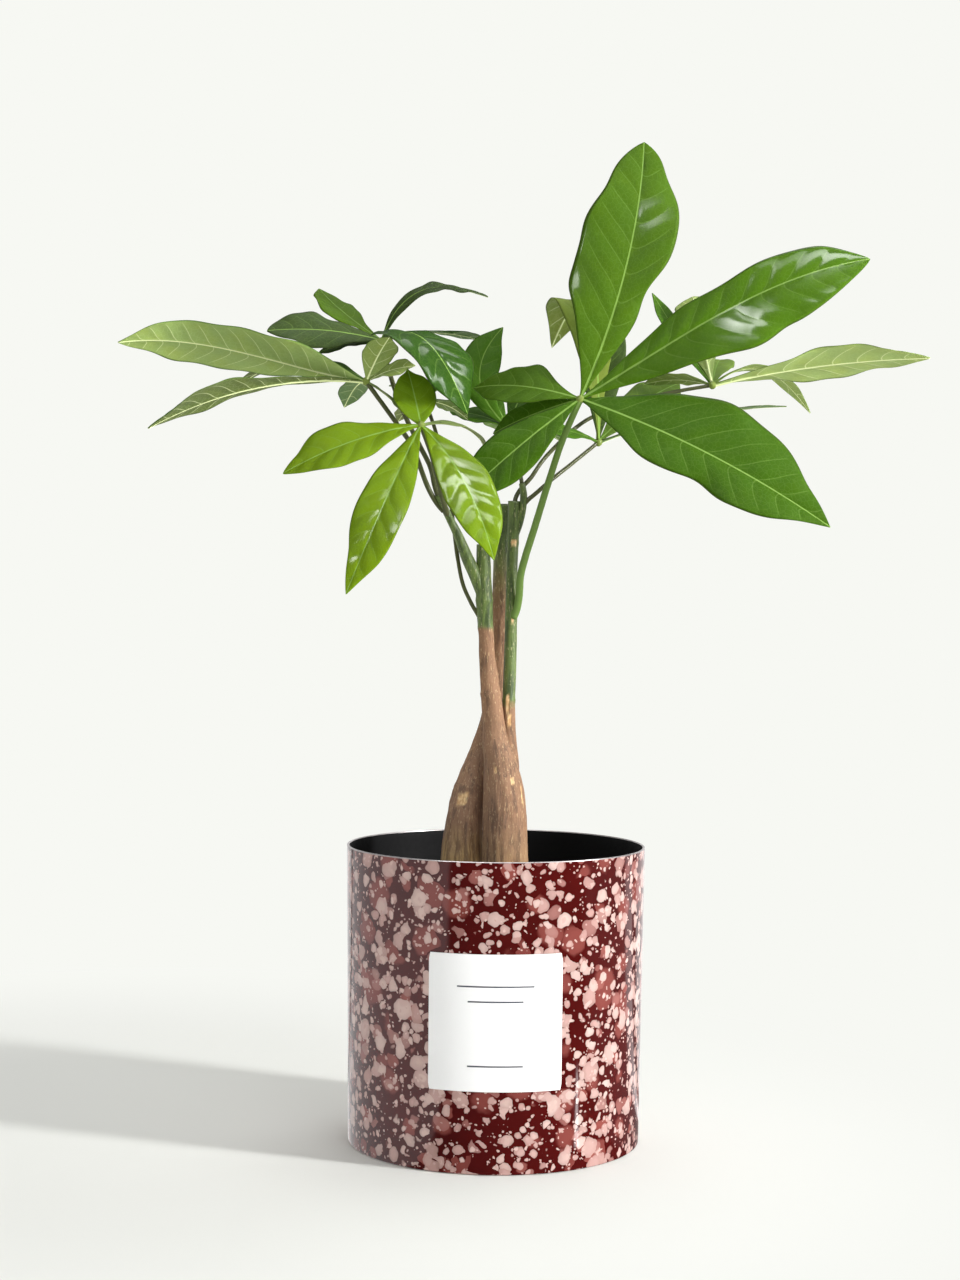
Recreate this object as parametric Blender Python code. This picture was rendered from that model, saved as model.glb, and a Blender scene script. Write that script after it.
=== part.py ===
"""Potted money tree: two saplings with palmate leaves, in a nursery pot inside a round cover pot.

The origin is the middle of the cover pot's foot, +Z is up and -Y is the front, where the label is.
Places and sizes in the tables are millimetres, as (right, back, up), and MM turns them into metres.
"""
import math
from collections import namedtuple

import bmesh
import bpy
import numpy as np
from mathutils import Matrix, Vector

MM = 0.001
TOUCH_GAP = 0.3
ROUND_ANGLE = 40.0

# Cover pot: thin sheet, a little wider at the rim than at the foot.
POT_HEIGHT = 148.0
POT_RIM_RADIUS = 75.0
POT_FOOT_RADIUS = 73.2
POT_WALL = 1.2
POT_FLOOR = 1.5
POT_EDGE = 0.4
POT_SIDES = 72

# Square label wrapped round the front of the cover pot.
LABEL_SIZE = 65.0
LABEL_CENTRE_HEIGHT = 72.0
LABEL_THICKNESS = 0.6
LABEL_COLUMNS = 12

# Nursery pot that stands on the cover pot's floor.
NURSERY_HEIGHT = 126.0
NURSERY_TOP_RADIUS = 66.0
NURSERY_FOOT_RADIUS = 48.0
NURSERY_WALL = 1.0
NURSERY_LIP_WIDTH = 2.5
NURSERY_LIP_DROP = 8.0
NURSERY_SIDES = 48

# Soil: level near the nursery pot's wall and heaped a little round the saplings.
SOIL_EDGE_HEIGHT = 124.0
SOIL_HEAP = 10.0
SOIL_RINGS = 5
SOIL_SIDES = 48
ROOT_HOLE_SIDES = 24

# Stems: (right, back, up, radius) along the middle of each one.
TRUNK_SIDES = 16
SHOOT_SIDES = 10
TRUNK_STEP = 9.0
LEFT_TRUNK = (
    (-17.5, 5.0, 88.0, 10.4),
    (-17.5, 5.0, 112.0, 10.4),
    (-17.5, 5.0, 136.0, 10.4),
    (-16.6, 5.6, 153.0, 9.6),
    (-14.1, 7.0, 170.0, 8.7),
    (-10.3, 9.2, 184.0, 7.6),
    (-6.2, 10.4, 197.0, 6.6),
    (-2.6, 10.6, 210.0, 6.0),
    (-0.6, 10.0, 229.0, 5.2),
    (1.0, 9.0, 251.0, 4.7),
    (1.8, 8.0, 291.0, 4.5),
    (2.0, 7.5, 320.0, 4.4),
)
FRONT_TRUNK = (
    (5.5, -6.0, 88.0, 10.4),
    (5.5, -6.0, 112.0, 10.4),
    (5.5, -6.0, 138.0, 10.6),
    (5.2, -6.0, 160.0, 10.3),
    (4.2, -6.0, 176.0, 9.4),
    (2.4, -6.0, 189.0, 7.9),
    (-0.2, -6.2, 200.0, 6.1),
    (-2.0, -6.4, 212.0, 5.4),
    (-3.7, -6.6, 226.0, 4.9),
    (-5.4, -7.0, 243.0, 4.1),
    (-6.3, -7.3, 257.0, 3.8),
    (-7.2, -8.0, 271.0, 4.2),
    (-7.6, -8.4, 286.0, 3.6),
    (-8.0, -9.0, 299.0, 3.3),
)
RIGHT_STEM = (
    (5.5, -5.0, 172.0, 3.4),
    (6.6, -4.2, 186.0, 4.6),
    (6.2, -3.6, 200.0, 3.6),
    (5.8, -3.2, 218.0, 3.2),
    (6.1, -2.6, 234.0, 3.3),
    (6.5, -2.2, 262.0, 3.0),
    (6.8, -2.0, 291.0, 2.8),
    (7.6, -1.4, 321.0, 3.2),
)
LEFT_SHOOT = (
    (-8.0, -8.6, 274.0, 3.0),
    (-12.0, -9.4, 284.0, 3.2),
    (-15.8, -10.8, 292.0, 3.0),
    (-20.4, -13.2, 303.0, 2.3),
    (-25.0, -15.2, 312.0, 1.9),
    (-30.6, -17.8, 323.0, 1.7),
)
RIGHT_SHOOT = (
    (7.2, -1.8, 303.0, 2.4),
    (9.8, -2.0, 310.0, 2.2),
    (11.6, -2.4, 317.0, 1.9),
    (12.1, -2.8, 324.0, 1.8),
    (11.2, -3.0, 330.0, 1.6),
)

# Leaf shape: a higher taper draws a blade in more towards both ends.
BLADE_THICKNESS = 0.8
BLADE_ROW_LENGTH = 15.0
BLADE_LEAST_ROWS = 5
BLADE_COLUMNS = 4
BLADE_TAPER = 2.08
STALK_HALF_WIDTH = 0.8
STALK_THICKENING = 0.8
STALK_FADE = 0.06
GUTTER = 0.20
CURL = 0.16
WAVE_HEIGHT = 0.10
WAVES = 1.6
WAVE_SHIFT = 2.2
WAVE_TURN = 1.7
HUB_RADIUS = 2.4
PETIOLE_SIDES = 8
PETIOLE_STEP = 12.0
LEAF_ROUND_ANGLE = 60.0

# A leaflet: the reach from the hub to its tip (right, back, up) and its width. Arch and sway bow
# the midrib out of its upper side and to its right by that share of its length, and skew moves
# the top of the bow towards the tip. Roll turns the blade about the midrib in degrees. Lean
# widens its left half, and swing does so near the root and the other way near the tip. The
# blade is widest at that share of its length.
Leaflet = namedtuple("Leaflet", "reach width arch sway skew roll lean swing broadest",
                     defaults=(0.06, 0.0, 0.0, 0.0, 0.0, 0.0, 0.62))

# A palmate leaf: where its leaflets meet, the way their upper sides face, the petiole's points
# from the stem up to the hub, its radius at each end, and the leaflets.
Leaf = namedtuple("Leaf", "hub face petiole radii leaflets")

LEAVES = {
    "leaf_front_right": Leaf(
        hub=(38.5, -34.0, 369.3),
        face=(0.10, -0.90, 0.42),
        petiole=((10.0, -5.9, 268.0), (10.4, -6.6, 270.6), (10.6, -8.7, 281.0), (13.0, -12.6, 292.6),
                 (17.3, -18.0, 307.0), (24.6, -26.6, 332.0), (30.4, -30.8, 350.0)),
        radii=(2.1, 1.7),
        leaflets=(
            Leaflet((31.0, 16.0, 128.5), 47.0, arch=0.05, sway=0.045, lean=0.16, swing=0.14),
            Leaflet((137.4, -16.0, 66.8), 39.0, arch=0.05, sway=-0.03, skew=0.60, lean=-0.13),
            Leaflet((118.6, -24.0, -62.0), 50.0, arch=0.05, sway=-0.01, lean=0.16, broadest=0.54),
            Leaflet((-56.5, -6.0, -48.6), 25.0),
            Leaflet((-51.8, 24.0, 7.3), 21.0, arch=0.10),
            Leaflet((-42.0, 27.0, -15.0), 17.0, arch=0.05),
        ),
    ),
    "leaf_front_left": Leaf(
        hub=(-38.6, -42.0, 355.2),
        face=(0.0, -0.75, 0.65),
        petiole=((-27.5, -19.5, 316.9), (-27.9, -21.6, 318.6), (-30.0, -27.0, 328.0), (-33.4, -35.0, 341.0)),
        radii=(1.4, 1.2),
        leaflets=(
            Leaflet((-64.6, -20.0, -25.3), 27.0, arch=0.07),
            Leaflet((-33.5, -32.0, -82.2), 25.0, arch=0.09, sway=-0.02, broadest=0.58),
            Leaflet((35.7, -34.0, -65.6), 25.0, arch=0.08, sway=-0.04, broadest=0.58),
            Leaflet((-8.2, 26.0, 33.1), 20.0, arch=0.05),
            Leaflet((35.5, 24.0, -16.7), 14.0, arch=0.20, roll=-33.0),
        ),
    ),
    "leaf_far_left": Leaf(
        hub=(-66.8, -16.0, 378.9),
        face=(0.0, 0.45, 0.89),
        petiole=((-31.7, -16.6, 317.9), (-33.6, -17.0, 319.6), (-36.6, -18.4, 329.0), (-43.6, -18.4, 346.6),
                 (-52.2, -17.2, 359.2)),
        radii=(1.4, 1.2),
        leaflets=(
            Leaflet((-118.9, -24.0, 15.1), 39.0, arch=0.045, skew=1.00, lean=0.13, swing=0.40, broadest=0.58),
            Leaflet((-100.6, -46.0, -28.1), 30.0, arch=0.075, roll=-11.0, lean=0.12, broadest=0.70),
            Leaflet((-74.9, 50.0, 2.5), 28.0, arch=0.14, roll=-27.0),
            Leaflet((-13.3, 40.0, -9.2), 14.0, arch=0.10),
            Leaflet((19.0, -1.0, -16.0), 13.0, arch=0.06, roll=40.0),
            Leaflet((12.5, -24.0, 19.0), 17.0),
            Leaflet((24.0, 9.0, 9.0), 14.0, arch=0.08),
        ),
    ),
    "leaf_top_left": Leaf(
        hub=(-60.2, 8.0, 401.8),
        face=(0.15, -0.35, 0.92),
        petiole=((-31.1, -18.0, 324.0), (-32.0, -17.3, 326.4), (-34.6, -13.6, 337.0), (-40.2, -11.0, 348.0),
                 (-48.6, -7.6, 365.0), (-55.6, -1.4, 384.0)),
        radii=(1.4, 1.2),
        leaflets=(
            Leaflet((43.8, -42.0, -40.3), 38.0, arch=0.28),
            Leaflet((53.5, 22.0, 26.1), 26.0, arch=0.27, skew=-0.25, roll=-10.0),
            Leaflet((54.1, 32.0, 3.6), 20.0, arch=0.08, roll=-20.0),
            Leaflet((-56.1, -22.0, 1.7), 33.0, arch=0.05, roll=-15.0),
            Leaflet((-34.8, 34.0, 31.1), 19.0, arch=0.02, sway=-0.08),
            Leaflet((-32.0, -4.0, -7.0), 16.0),
        ),
    ),
    "leaf_centre": Leaf(
        hub=(4.2, 14.0, 359.4),
        face=(-0.10, -0.45, 0.88),
        petiole=((11.0, -3.0, 330.9), (10.6, -2.2, 333.4), (8.6, 2.6, 340.0), (5.8, 9.0, 350.0)),
        radii=(1.1, 1.1),
        leaflets=(
            Leaflet((-30.0, 16.0, 9.0), 16.0),
            Leaflet((-3.0, 6.0, 51.6), 20.0, sway=-0.25),
            Leaflet((-27.0, 24.0, 40.0), 17.0),
            Leaflet((18.1, 38.0, 33.4), 18.0, arch=0.08),
            Leaflet((-4.2, 50.0, 2.6), 20.0, arch=0.10),
            Leaflet((27.5, 30.0, -4.3), 17.0, arch=0.10),
        ),
    ),
    "leaf_back_centre": Leaf(
        hub=(50.5, 20.0, 352.7),
        face=(0.10, -0.55, 0.83),
        petiole=((14.9, -2.8, 322.6), (17.0, -2.6, 324.0), (25.5, 2.0, 331.6), (38.4, 11.0, 342.4)),
        radii=(1.2, 1.0),
        leaflets=(
            Leaflet((3.6, 26.0, 76.1), 24.0, arch=0.05),
            Leaflet((-23.0, 38.0, 52.9), 31.0, arch=0.86, skew=0.30),
            Leaflet((100.6, 30.0, 22.2), 18.0, arch=0.04, roll=-32.0),
            Leaflet((-32.9, -20.0, 5.0), 15.0),
            Leaflet((50.0, 52.0, 26.0), 24.0, arch=0.08),
        ),
    ),
    "leaf_far_right": Leaf(
        hub=(110.2, 35.0, 384.1),
        face=(0.10, 0.30, 0.95),
        petiole=((7.8, -0.8, 322.1), (9.0, 0.8, 324.4), (11.6, 3.0, 328.6), (15.9, 5.6, 333.4),
                 (24.0, 12.0, 345.0), (41.0, 27.0, 362.0), (56.0, 33.0, 370.0), (84.0, 36.0, 379.0)),
        radii=(1.2, 1.0),
        leaflets=(
            Leaflet((109.9, -15.0, 13.4), 36.0, arch=0.03),
            Leaflet((55.6, 29.0, -11.3), 20.0, arch=0.20),
            Leaflet((8.0, 34.0, 17.0), 18.0, arch=0.08),
            Leaflet((-34.0, 16.0, 2.0), 16.0, arch=0.08),
            Leaflet((-29.6, 27.0, 51.4), 16.0, arch=0.10),
            Leaflet((-10.0, 16.0, 46.0), 18.0),
        ),
    ),
    "leaf_back_left": Leaf(
        hub=(-38.3, 2.0, 371.9),
        face=(0.0, 0.10, 0.99),
        petiole=((-12.4, -7.7, 267.6), (-14.2, -7.5, 269.8), (-18.2, -6.4, 280.0), (-20.8, -6.2, 293.0),
                 (-22.2, -6.0, 303.0), (-25.4, -5.4, 326.0), (-31.6, -2.4, 353.0)),
        radii=(1.1, 1.0),
        leaflets=(
            Leaflet((22.0, 8.0, -9.0), 20.0, arch=0.10),
            Leaflet((13.4, 26.0, 12.0), 18.0, arch=0.10),
            Leaflet((-16.0, 26.0, 8.0), 18.0, arch=0.10),
            Leaflet((-14.0, 14.0, -10.0), 12.0, arch=0.10),
        ),
    ),
}

# Finishes: (red, green, blue), roughness, metallic.
FINISHES = {
    "pot_lacquer": ((0.16, 0.03, 0.03), 0.12, 0.0),
    "label_paper": ((0.86, 0.86, 0.84), 0.55, 0.0),
    "nursery_plastic": ((0.02, 0.02, 0.02), 0.45, 0.0),
    "soil_peat": ((0.05, 0.03, 0.02), 0.95, 0.0),
    "bark": ((0.22, 0.13, 0.08), 0.80, 0.0),
    "leaf_green": ((0.07, 0.20, 0.03), 0.30, 0.0),
}


def clear_objects():
    """Removes whatever the open file holds."""
    for found in list(bpy.data.objects):
        bpy.data.objects.remove(found, do_unlink=True)


def make_material(name):
    """A Principled material from the finish table."""
    colour, roughness, metallic = FINISHES[name]
    material = bpy.data.materials.new(name)
    material.use_nodes = True
    shader = material.node_tree.nodes["Principled BSDF"]
    shader.inputs["Base Color"].default_value = (*colour, 1.0)
    shader.inputs["Roughness"].default_value = roughness
    shader.inputs["Metallic"].default_value = metallic
    material.diffuse_color = (*colour, 1.0)
    return material


def make_object(name, points, faces, material=None):
    """A mesh object from points in millimetres and faces of point numbers, faces turned outwards."""
    mesh = bpy.data.meshes.new(name)
    mesh.from_pydata([tuple(point) for point in np.asarray(points) * MM], [], faces)
    body = bmesh.new()
    body.from_mesh(mesh)
    bmesh.ops.recalc_face_normals(body, faces=body.faces)
    body.to_mesh(mesh)
    body.free()
    made = bpy.data.objects.new(name, mesh)
    bpy.context.scene.collection.objects.link(made)
    if material:
        mesh.materials.append(material)
    return made


def shade_round(made, angle=ROUND_ANGLE):
    """Smooth shading, with edges over the angle in degrees kept sharp."""
    made.data.shade_smooth()
    made.data.set_sharp_from_angle(angle=math.radians(angle))


def unit(vector):
    """The vector at length one."""
    vector = np.asarray(vector, dtype=float)
    return vector / np.linalg.norm(vector)


def turned_solid(name, profile, sides, material):
    """A solid of revolution: the profile of (radius, height) starts and ends on the axis."""
    angles = np.arange(sides) * 2 * math.pi / sides
    points = [(0.0, 0.0, profile[0][1])]
    for radius, height in profile[1:-1]:
        points += [(radius * math.cos(a), radius * math.sin(a), height) for a in angles]
    points.append((0.0, 0.0, profile[-1][1]))
    last = len(points) - 1
    rings = len(profile) - 2
    faces = []
    for side in range(sides):
        after = (side + 1) % sides
        faces.append((0, 1 + after, 1 + side))
        for ring in range(rings - 1):
            low = 1 + ring * sides
            high = low + sides
            faces.append((low + side, low + after, high + after, high + side))
        top = 1 + (rings - 1) * sides
        faces.append((top + side, top + after, last))
    made = make_object(name, points, faces, material)
    shade_round(made)
    return made


def smooth_path(controls, step):
    """Points about a step apart on a Catmull-Rom curve through the controls, all columns alike."""
    controls = np.asarray(controls, dtype=float)
    padded = np.vstack([2 * controls[0] - controls[1], controls, 2 * controls[-1] - controls[-2]])
    path = [controls[0]]
    for before, start, end, after in zip(padded, padded[1:], padded[2:], padded[3:]):
        pieces = max(1, round(np.linalg.norm(end[:3] - start[:3]) / step))
        for piece in range(1, pieces + 1):
            t = piece / pieces
            path.append(0.5 * (2 * start + (end - before) * t
                               + (2 * before - 5 * start + 4 * end - after) * t ** 2
                               + (3 * start - before - 3 * end + after) * t ** 3))
    return np.array(path)


def tube(name, path, radii, sides, material=None):
    """A closed round tube along a path, with a radius at each of its points."""
    path = np.asarray(path, dtype=float)
    headings = np.gradient(path, axis=0)
    side_way = unit(np.cross(headings[0], (0.0, 1.0, 0.2)))
    angles = np.arange(sides) * 2 * math.pi / sides
    points = []
    for centre, heading, radius in zip(path, headings, radii):
        heading = unit(heading)
        side_way = unit(side_way - np.dot(side_way, heading) * heading)
        other_way = np.cross(heading, side_way)
        ring = np.outer(np.cos(angles), side_way) + np.outer(np.sin(angles), other_way)
        points.append(centre + radius * ring)
    points = np.vstack(points)
    faces = [tuple(range(sides))[::-1]]
    for ring in range(len(path) - 1):
        low = ring * sides
        for side in range(sides):
            after = (side + 1) % sides
            faces.append((low + side, low + after, low + sides + after, low + sides + side))
    faces.append(tuple(range((len(path) - 1) * sides, len(path) * sides)))
    made = make_object(name, points, faces, material)
    shade_round(made)
    return made


def union(base, others):
    """Joins the other solids to the base with one union on a collection, and removes them."""
    group = bpy.data.collections.new(base.name + "_joined")
    for other in others:
        bpy.context.scene.collection.objects.unlink(other)
        group.objects.link(other)
    bpy.context.scene.collection.children.link(group)
    joining = base.modifiers.new("join", "BOOLEAN")
    joining.operation = "UNION"
    joining.operand_type = "COLLECTION"
    joining.collection = group
    joining.solver = "EXACT"
    apply_modifiers(base)
    for other in others:
        bpy.data.objects.remove(other, do_unlink=True)
    bpy.data.collections.remove(group)


def apply_modifiers(made):
    """Puts the evaluated shape in the object's own mesh."""
    bpy.context.view_layer.update()
    finished = made.evaluated_get(bpy.context.evaluated_depsgraph_get())
    mesh = bpy.data.meshes.new_from_object(finished)
    made.modifiers.clear()
    made.data = mesh


def build_pot(material):
    """The cover pot: a sheet wall on a flat floor, with its edges eased."""
    inner_top = POT_RIM_RADIUS - POT_WALL
    inner_foot = POT_FOOT_RADIUS - POT_WALL
    profile = (
        (0.0, 0.0),
        (POT_FOOT_RADIUS - POT_EDGE, 0.0),
        (POT_FOOT_RADIUS, POT_EDGE),
        (POT_RIM_RADIUS, POT_HEIGHT - POT_EDGE),
        (POT_RIM_RADIUS - POT_EDGE, POT_HEIGHT),
        (inner_top + POT_EDGE, POT_HEIGHT),
        (inner_top, POT_HEIGHT - POT_EDGE),
        (inner_foot, POT_FLOOR),
        (0.0, POT_FLOOR),
    )
    return turned_solid("pot", profile, POT_SIDES, material)


def pot_radius(height):
    """The cover pot's outer radius at a height."""
    return POT_FOOT_RADIUS + (POT_RIM_RADIUS - POT_FOOT_RADIUS) * height / POT_HEIGHT


def build_label(material):
    """The label: a thin square sheet wrapped on the pot's front, just clear of its facets."""
    half_turn = LABEL_SIZE / 2 / pot_radius(LABEL_CENTRE_HEIGHT)
    turns = np.linspace(-half_turn, half_turn, LABEL_COLUMNS + 1)
    points = []
    for thickness in (0.0, LABEL_THICKNESS):
        for height in (LABEL_CENTRE_HEIGHT - LABEL_SIZE / 2, LABEL_CENTRE_HEIGHT + LABEL_SIZE / 2):
            radius = pot_radius(height) + TOUCH_GAP + thickness
            points += [(radius * math.sin(turn), -radius * math.cos(turn), height) for turn in turns]
    across = LABEL_COLUMNS + 1
    faces = []
    for column in range(LABEL_COLUMNS):
        low_in, high_in, low_out, high_out = (column + row * across for row in range(4))
        faces.append((low_in, low_in + 1, high_in + 1, high_in))
        faces.append((low_out, high_out, high_out + 1, low_out + 1))
        faces.append((low_in, low_out, low_out + 1, low_in + 1))
        faces.append((high_in, high_in + 1, high_out + 1, high_out))
    for end in (0, LABEL_COLUMNS):
        faces.append((end, end + across, end + 3 * across, end + 2 * across))
    made = make_object("label", points, faces, material)
    shade_round(made)
    return made


def nursery_floor():
    """The height of the nursery pot's underside."""
    return POT_FLOOR + TOUCH_GAP


def nursery_inner_radius(height):
    """The nursery pot's inner radius at a height."""
    share = (height - nursery_floor()) / NURSERY_HEIGHT
    return NURSERY_FOOT_RADIUS + (NURSERY_TOP_RADIUS - NURSERY_FOOT_RADIUS) * share - NURSERY_WALL


def build_nursery_pot(material):
    """The nursery pot: a tapered cup with a turned-out lip."""
    floor = nursery_floor()
    top = floor + NURSERY_HEIGHT
    lip_foot = top - NURSERY_LIP_DROP
    lip_radius = NURSERY_TOP_RADIUS + NURSERY_LIP_WIDTH
    profile = (
        (0.0, floor),
        (NURSERY_FOOT_RADIUS, floor),
        (nursery_inner_radius(lip_foot) + NURSERY_WALL, lip_foot),
        (lip_radius, lip_foot),
        (lip_radius, top),
        (nursery_inner_radius(top), top),
        (nursery_inner_radius(floor + NURSERY_WALL), floor + NURSERY_WALL),
        (0.0, floor + NURSERY_WALL),
    )
    return turned_solid("nursery_pot", profile, NURSERY_SIDES, material)


def build_soil(material):
    """The soil: it fills the nursery pot, is heaped in the middle and has two plain root holes."""
    bottom = nursery_floor() + NURSERY_WALL + TOUCH_GAP
    bottom_radius = nursery_inner_radius(bottom) - TOUCH_GAP
    edge_radius = nursery_inner_radius(SOIL_EDGE_HEIGHT) - TOUCH_GAP
    profile = [(0.0, bottom), (bottom_radius, bottom)]
    for ring in range(SOIL_RINGS):
        share = ring / SOIL_RINGS
        heap = SOIL_HEAP * (0.5 - 0.5 * math.cos(math.pi * share))
        profile.append((edge_radius * (1 - share), SOIL_EDGE_HEIGHT + heap))
    profile.append((0.0, SOIL_EDGE_HEIGHT + SOIL_HEAP))
    soil = turned_solid("soil", profile, SOIL_SIDES, material)
    for trunk in (LEFT_TRUNK, FRONT_TRUNK):
        right, back, bottom_height, _ = trunk[0]
        hole_top = SOIL_EDGE_HEIGHT + 2 * SOIL_HEAP
        path = ((right, back, bottom_height - TOUCH_GAP), (right, back, hole_top))
        widest = max(radius for _, _, height, radius in trunk if height < hole_top)
        hole_radius = widest + 2 * TOUCH_GAP
        cutter = tube("root_hole", path, (hole_radius, hole_radius), ROOT_HOLE_SIDES)
        cutting = soil.modifiers.new("hole", "BOOLEAN")
        cutting.operation = "DIFFERENCE"
        cutting.object = cutter
        apply_modifiers(soil)
        bpy.data.objects.remove(cutter, do_unlink=True)
    return soil


def stem(name, controls, sides, material=None):
    """A stem from its table of middle points and radii."""
    path = smooth_path(controls, TRUNK_STEP)
    return tube(name, path[:, :3], path[:, 3], sides, material)


def build_trunks(material):
    """The left sapling, and the front one with its fork and its two green shoots."""
    stem("trunk_left", LEFT_TRUNK, TRUNK_SIDES, material)
    front = stem("trunk_front", FRONT_TRUNK, TRUNK_SIDES, material)
    limbs = [
        stem("right_stem", RIGHT_STEM, SHOOT_SIDES),
        stem("left_shoot", LEFT_SHOOT, SHOOT_SIDES),
        stem("right_shoot", RIGHT_SHOOT, SHOOT_SIDES),
    ]
    union(front, limbs)
    shade_round(front)


def blade_frame(reach, face, roll):
    """Unit directions along a blade and out of its upper side."""
    along = unit(reach)
    up_side = unit(np.asarray(face) - np.dot(face, along) * along)
    turn = math.radians(roll)
    return along, math.cos(turn) * up_side + math.sin(turn) * np.cross(along, up_side)


def blade_grid(hub, face, leaflet, phase, rows, columns):
    """The middle surface of a blade and its row normals, on a grid of rows and columns.

    The midrib is the chord from the hub to the tip, bowed up and sideways by a parabola. The half
    width is a power of the distance from the root times a power of that from the tip. A
    row is a shallow gutter whose halves curl over, and its margin rises and falls in waves.
    """
    reach = np.array(leaflet.reach)
    along, out = blade_frame(reach, face, leaflet.roll)
    length = np.linalg.norm(reach)
    bend = length * (leaflet.arch * out + leaflet.sway * np.cross(along, out))
    t = np.linspace(0.0, 1.0, rows + 1)[:, None]
    w = np.linspace(-1.0, 1.0, columns + 1)[None, :]
    bow = 4 * t * (1 - t) * (1 + leaflet.skew * (2 * t - 1))
    midrib = np.array(hub) + t * reach + bow * bend
    slope = np.gradient(midrib, axis=0)
    slope /= np.linalg.norm(slope, axis=1, keepdims=True)
    normal = out - (slope @ out)[:, None] * slope
    normal /= np.linalg.norm(normal, axis=1, keepdims=True)
    side = np.cross(slope, normal)
    peak = leaflet.broadest
    outline = ((t / peak) ** peak * ((1 - t) / (1 - peak)) ** (1 - peak)) ** BLADE_TAPER
    half = np.sqrt((leaflet.width / 2 * outline) ** 2 + STALK_HALF_WIDTH ** 2)
    lean = leaflet.lean + leaflet.swing * np.cos(math.pi * t)
    offset = w * half * (1 - lean * np.sign(w))
    ripple = WAVE_HEIGHT * np.sin(2 * math.pi * WAVES * t + phase + WAVE_SHIFT * (w > 0))
    lift = half * (GUTTER * np.abs(w) - CURL * w ** 2 + ripple * w ** 2)
    points = midrib[:, None, :] + offset[..., None] * side[:, None, :] + lift[..., None] * normal[:, None, :]
    return points, normal


def build_blade(hub, face, leaflet, phase):
    """One leaflet as a thin closed solid, both faces split into triangles alike."""
    rows = max(BLADE_LEAST_ROWS, round(np.linalg.norm(leaflet.reach) / BLADE_ROW_LENGTH))
    points, normal = blade_grid(hub, face, leaflet, phase, rows, BLADE_COLUMNS)
    t = np.linspace(0.0, 1.0, rows + 1)
    thickness = BLADE_THICKNESS + STALK_THICKENING * np.exp(-t / STALK_FADE)
    rise = (thickness[:, None] / 2 * normal)[:, None, :]
    upper = (points + rise).reshape(-1, 3)
    lower = (points - rise).reshape(-1, 3)
    across = BLADE_COLUMNS + 1
    count = len(upper)
    faces = []
    for row in range(rows):
        for column in range(BLADE_COLUMNS):
            a = row * across + column
            b, c, d = a + 1, a + across + 1, a + across
            faces += [(a, b, c), (a, c, d)]
            faces += [(count + a, count + c, count + b), (count + a, count + d, count + c)]
        left, right = row * across, row * across + BLADE_COLUMNS
        faces.append((left, left + across, count + left + across, count + left))
        faces.append((right, count + right, count + right + across, right + across))
    for column in range(BLADE_COLUMNS):
        root, tip = column, rows * across + column
        faces.append((root, count + root, count + root + 1, root + 1))
        faces.append((tip, tip + 1, count + tip + 1, count + tip))
    return make_object("blade", np.vstack([upper, lower]), faces)


def build_hub(hub):
    """The small knob where the leaflets meet."""
    body = bmesh.new()
    bmesh.ops.create_icosphere(body, subdivisions=1, radius=HUB_RADIUS * MM,
                               matrix=Matrix.Translation(Vector(hub) * MM))
    mesh = bpy.data.meshes.new("hub")
    body.to_mesh(mesh)
    body.free()
    made = bpy.data.objects.new("hub", mesh)
    bpy.context.scene.collection.objects.link(made)
    return made


def build_leaf(name, leaf, material):
    """One palmate leaf: petiole, hub and leaflets joined in one body."""
    path = smooth_path(leaf.petiole + (leaf.hub,), PETIOLE_STEP)
    radii = np.linspace(*leaf.radii, len(path))
    made = tube(name, path, radii, PETIOLE_SIDES, material)
    blades = [build_blade(leaf.hub, leaf.face, leaflet, WAVE_TURN * number)
              for number, leaflet in enumerate(leaf.leaflets)]
    union(made, [build_hub(leaf.hub)] + blades)
    shade_round(made, LEAF_ROUND_ANGLE)
    return made


def main():
    """Builds every piece in its place."""
    clear_objects()
    finishes = {name: make_material(name) for name in FINISHES}
    build_pot(finishes["pot_lacquer"])
    build_label(finishes["label_paper"])
    build_nursery_pot(finishes["nursery_plastic"])
    build_soil(finishes["soil_peat"])
    build_trunks(finishes["bark"])
    for name, leaf in LEAVES.items():
        build_leaf(name, leaf, finishes["leaf_green"])


main()
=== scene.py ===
"""Dresses the potted money tree with its finished surfaces and sets up its studio.

Every piece is a stack of closed rings worked out with numpy: a profile carried along a path, or
an outline turned about the upright axis. Places and sizes are millimetres, as (right, back, up),
and MM turns them into metres. Colours are written as display values from 0 to 255.
"""
import math
from collections import namedtuple
from itertools import product

import bpy
import numpy as np
from mathutils import Matrix


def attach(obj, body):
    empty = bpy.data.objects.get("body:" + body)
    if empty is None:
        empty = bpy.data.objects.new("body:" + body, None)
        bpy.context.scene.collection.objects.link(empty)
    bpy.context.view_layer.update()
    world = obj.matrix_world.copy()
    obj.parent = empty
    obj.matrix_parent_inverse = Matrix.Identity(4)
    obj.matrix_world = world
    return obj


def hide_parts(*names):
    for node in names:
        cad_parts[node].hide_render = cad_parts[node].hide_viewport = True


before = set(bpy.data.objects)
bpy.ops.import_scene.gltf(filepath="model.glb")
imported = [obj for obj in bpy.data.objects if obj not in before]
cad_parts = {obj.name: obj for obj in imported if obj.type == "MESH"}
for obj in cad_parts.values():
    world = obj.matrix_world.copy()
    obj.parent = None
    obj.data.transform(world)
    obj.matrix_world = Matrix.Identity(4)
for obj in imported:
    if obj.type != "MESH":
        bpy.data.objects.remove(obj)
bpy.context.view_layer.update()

bl_info = {
    "name": "Potted money tree",
    "version": (1, 0, 0),
    "blender": (4, 5, 0),
    "location": "3D View > Sidebar > Money tree",
    "description": "Builds the finished pieces of a potted money tree and its studio",
    "category": "Add Mesh",
}

MM = 0.001
FULL_TURN = 2 * math.pi
TOUCH_GAP = 0.3

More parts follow.
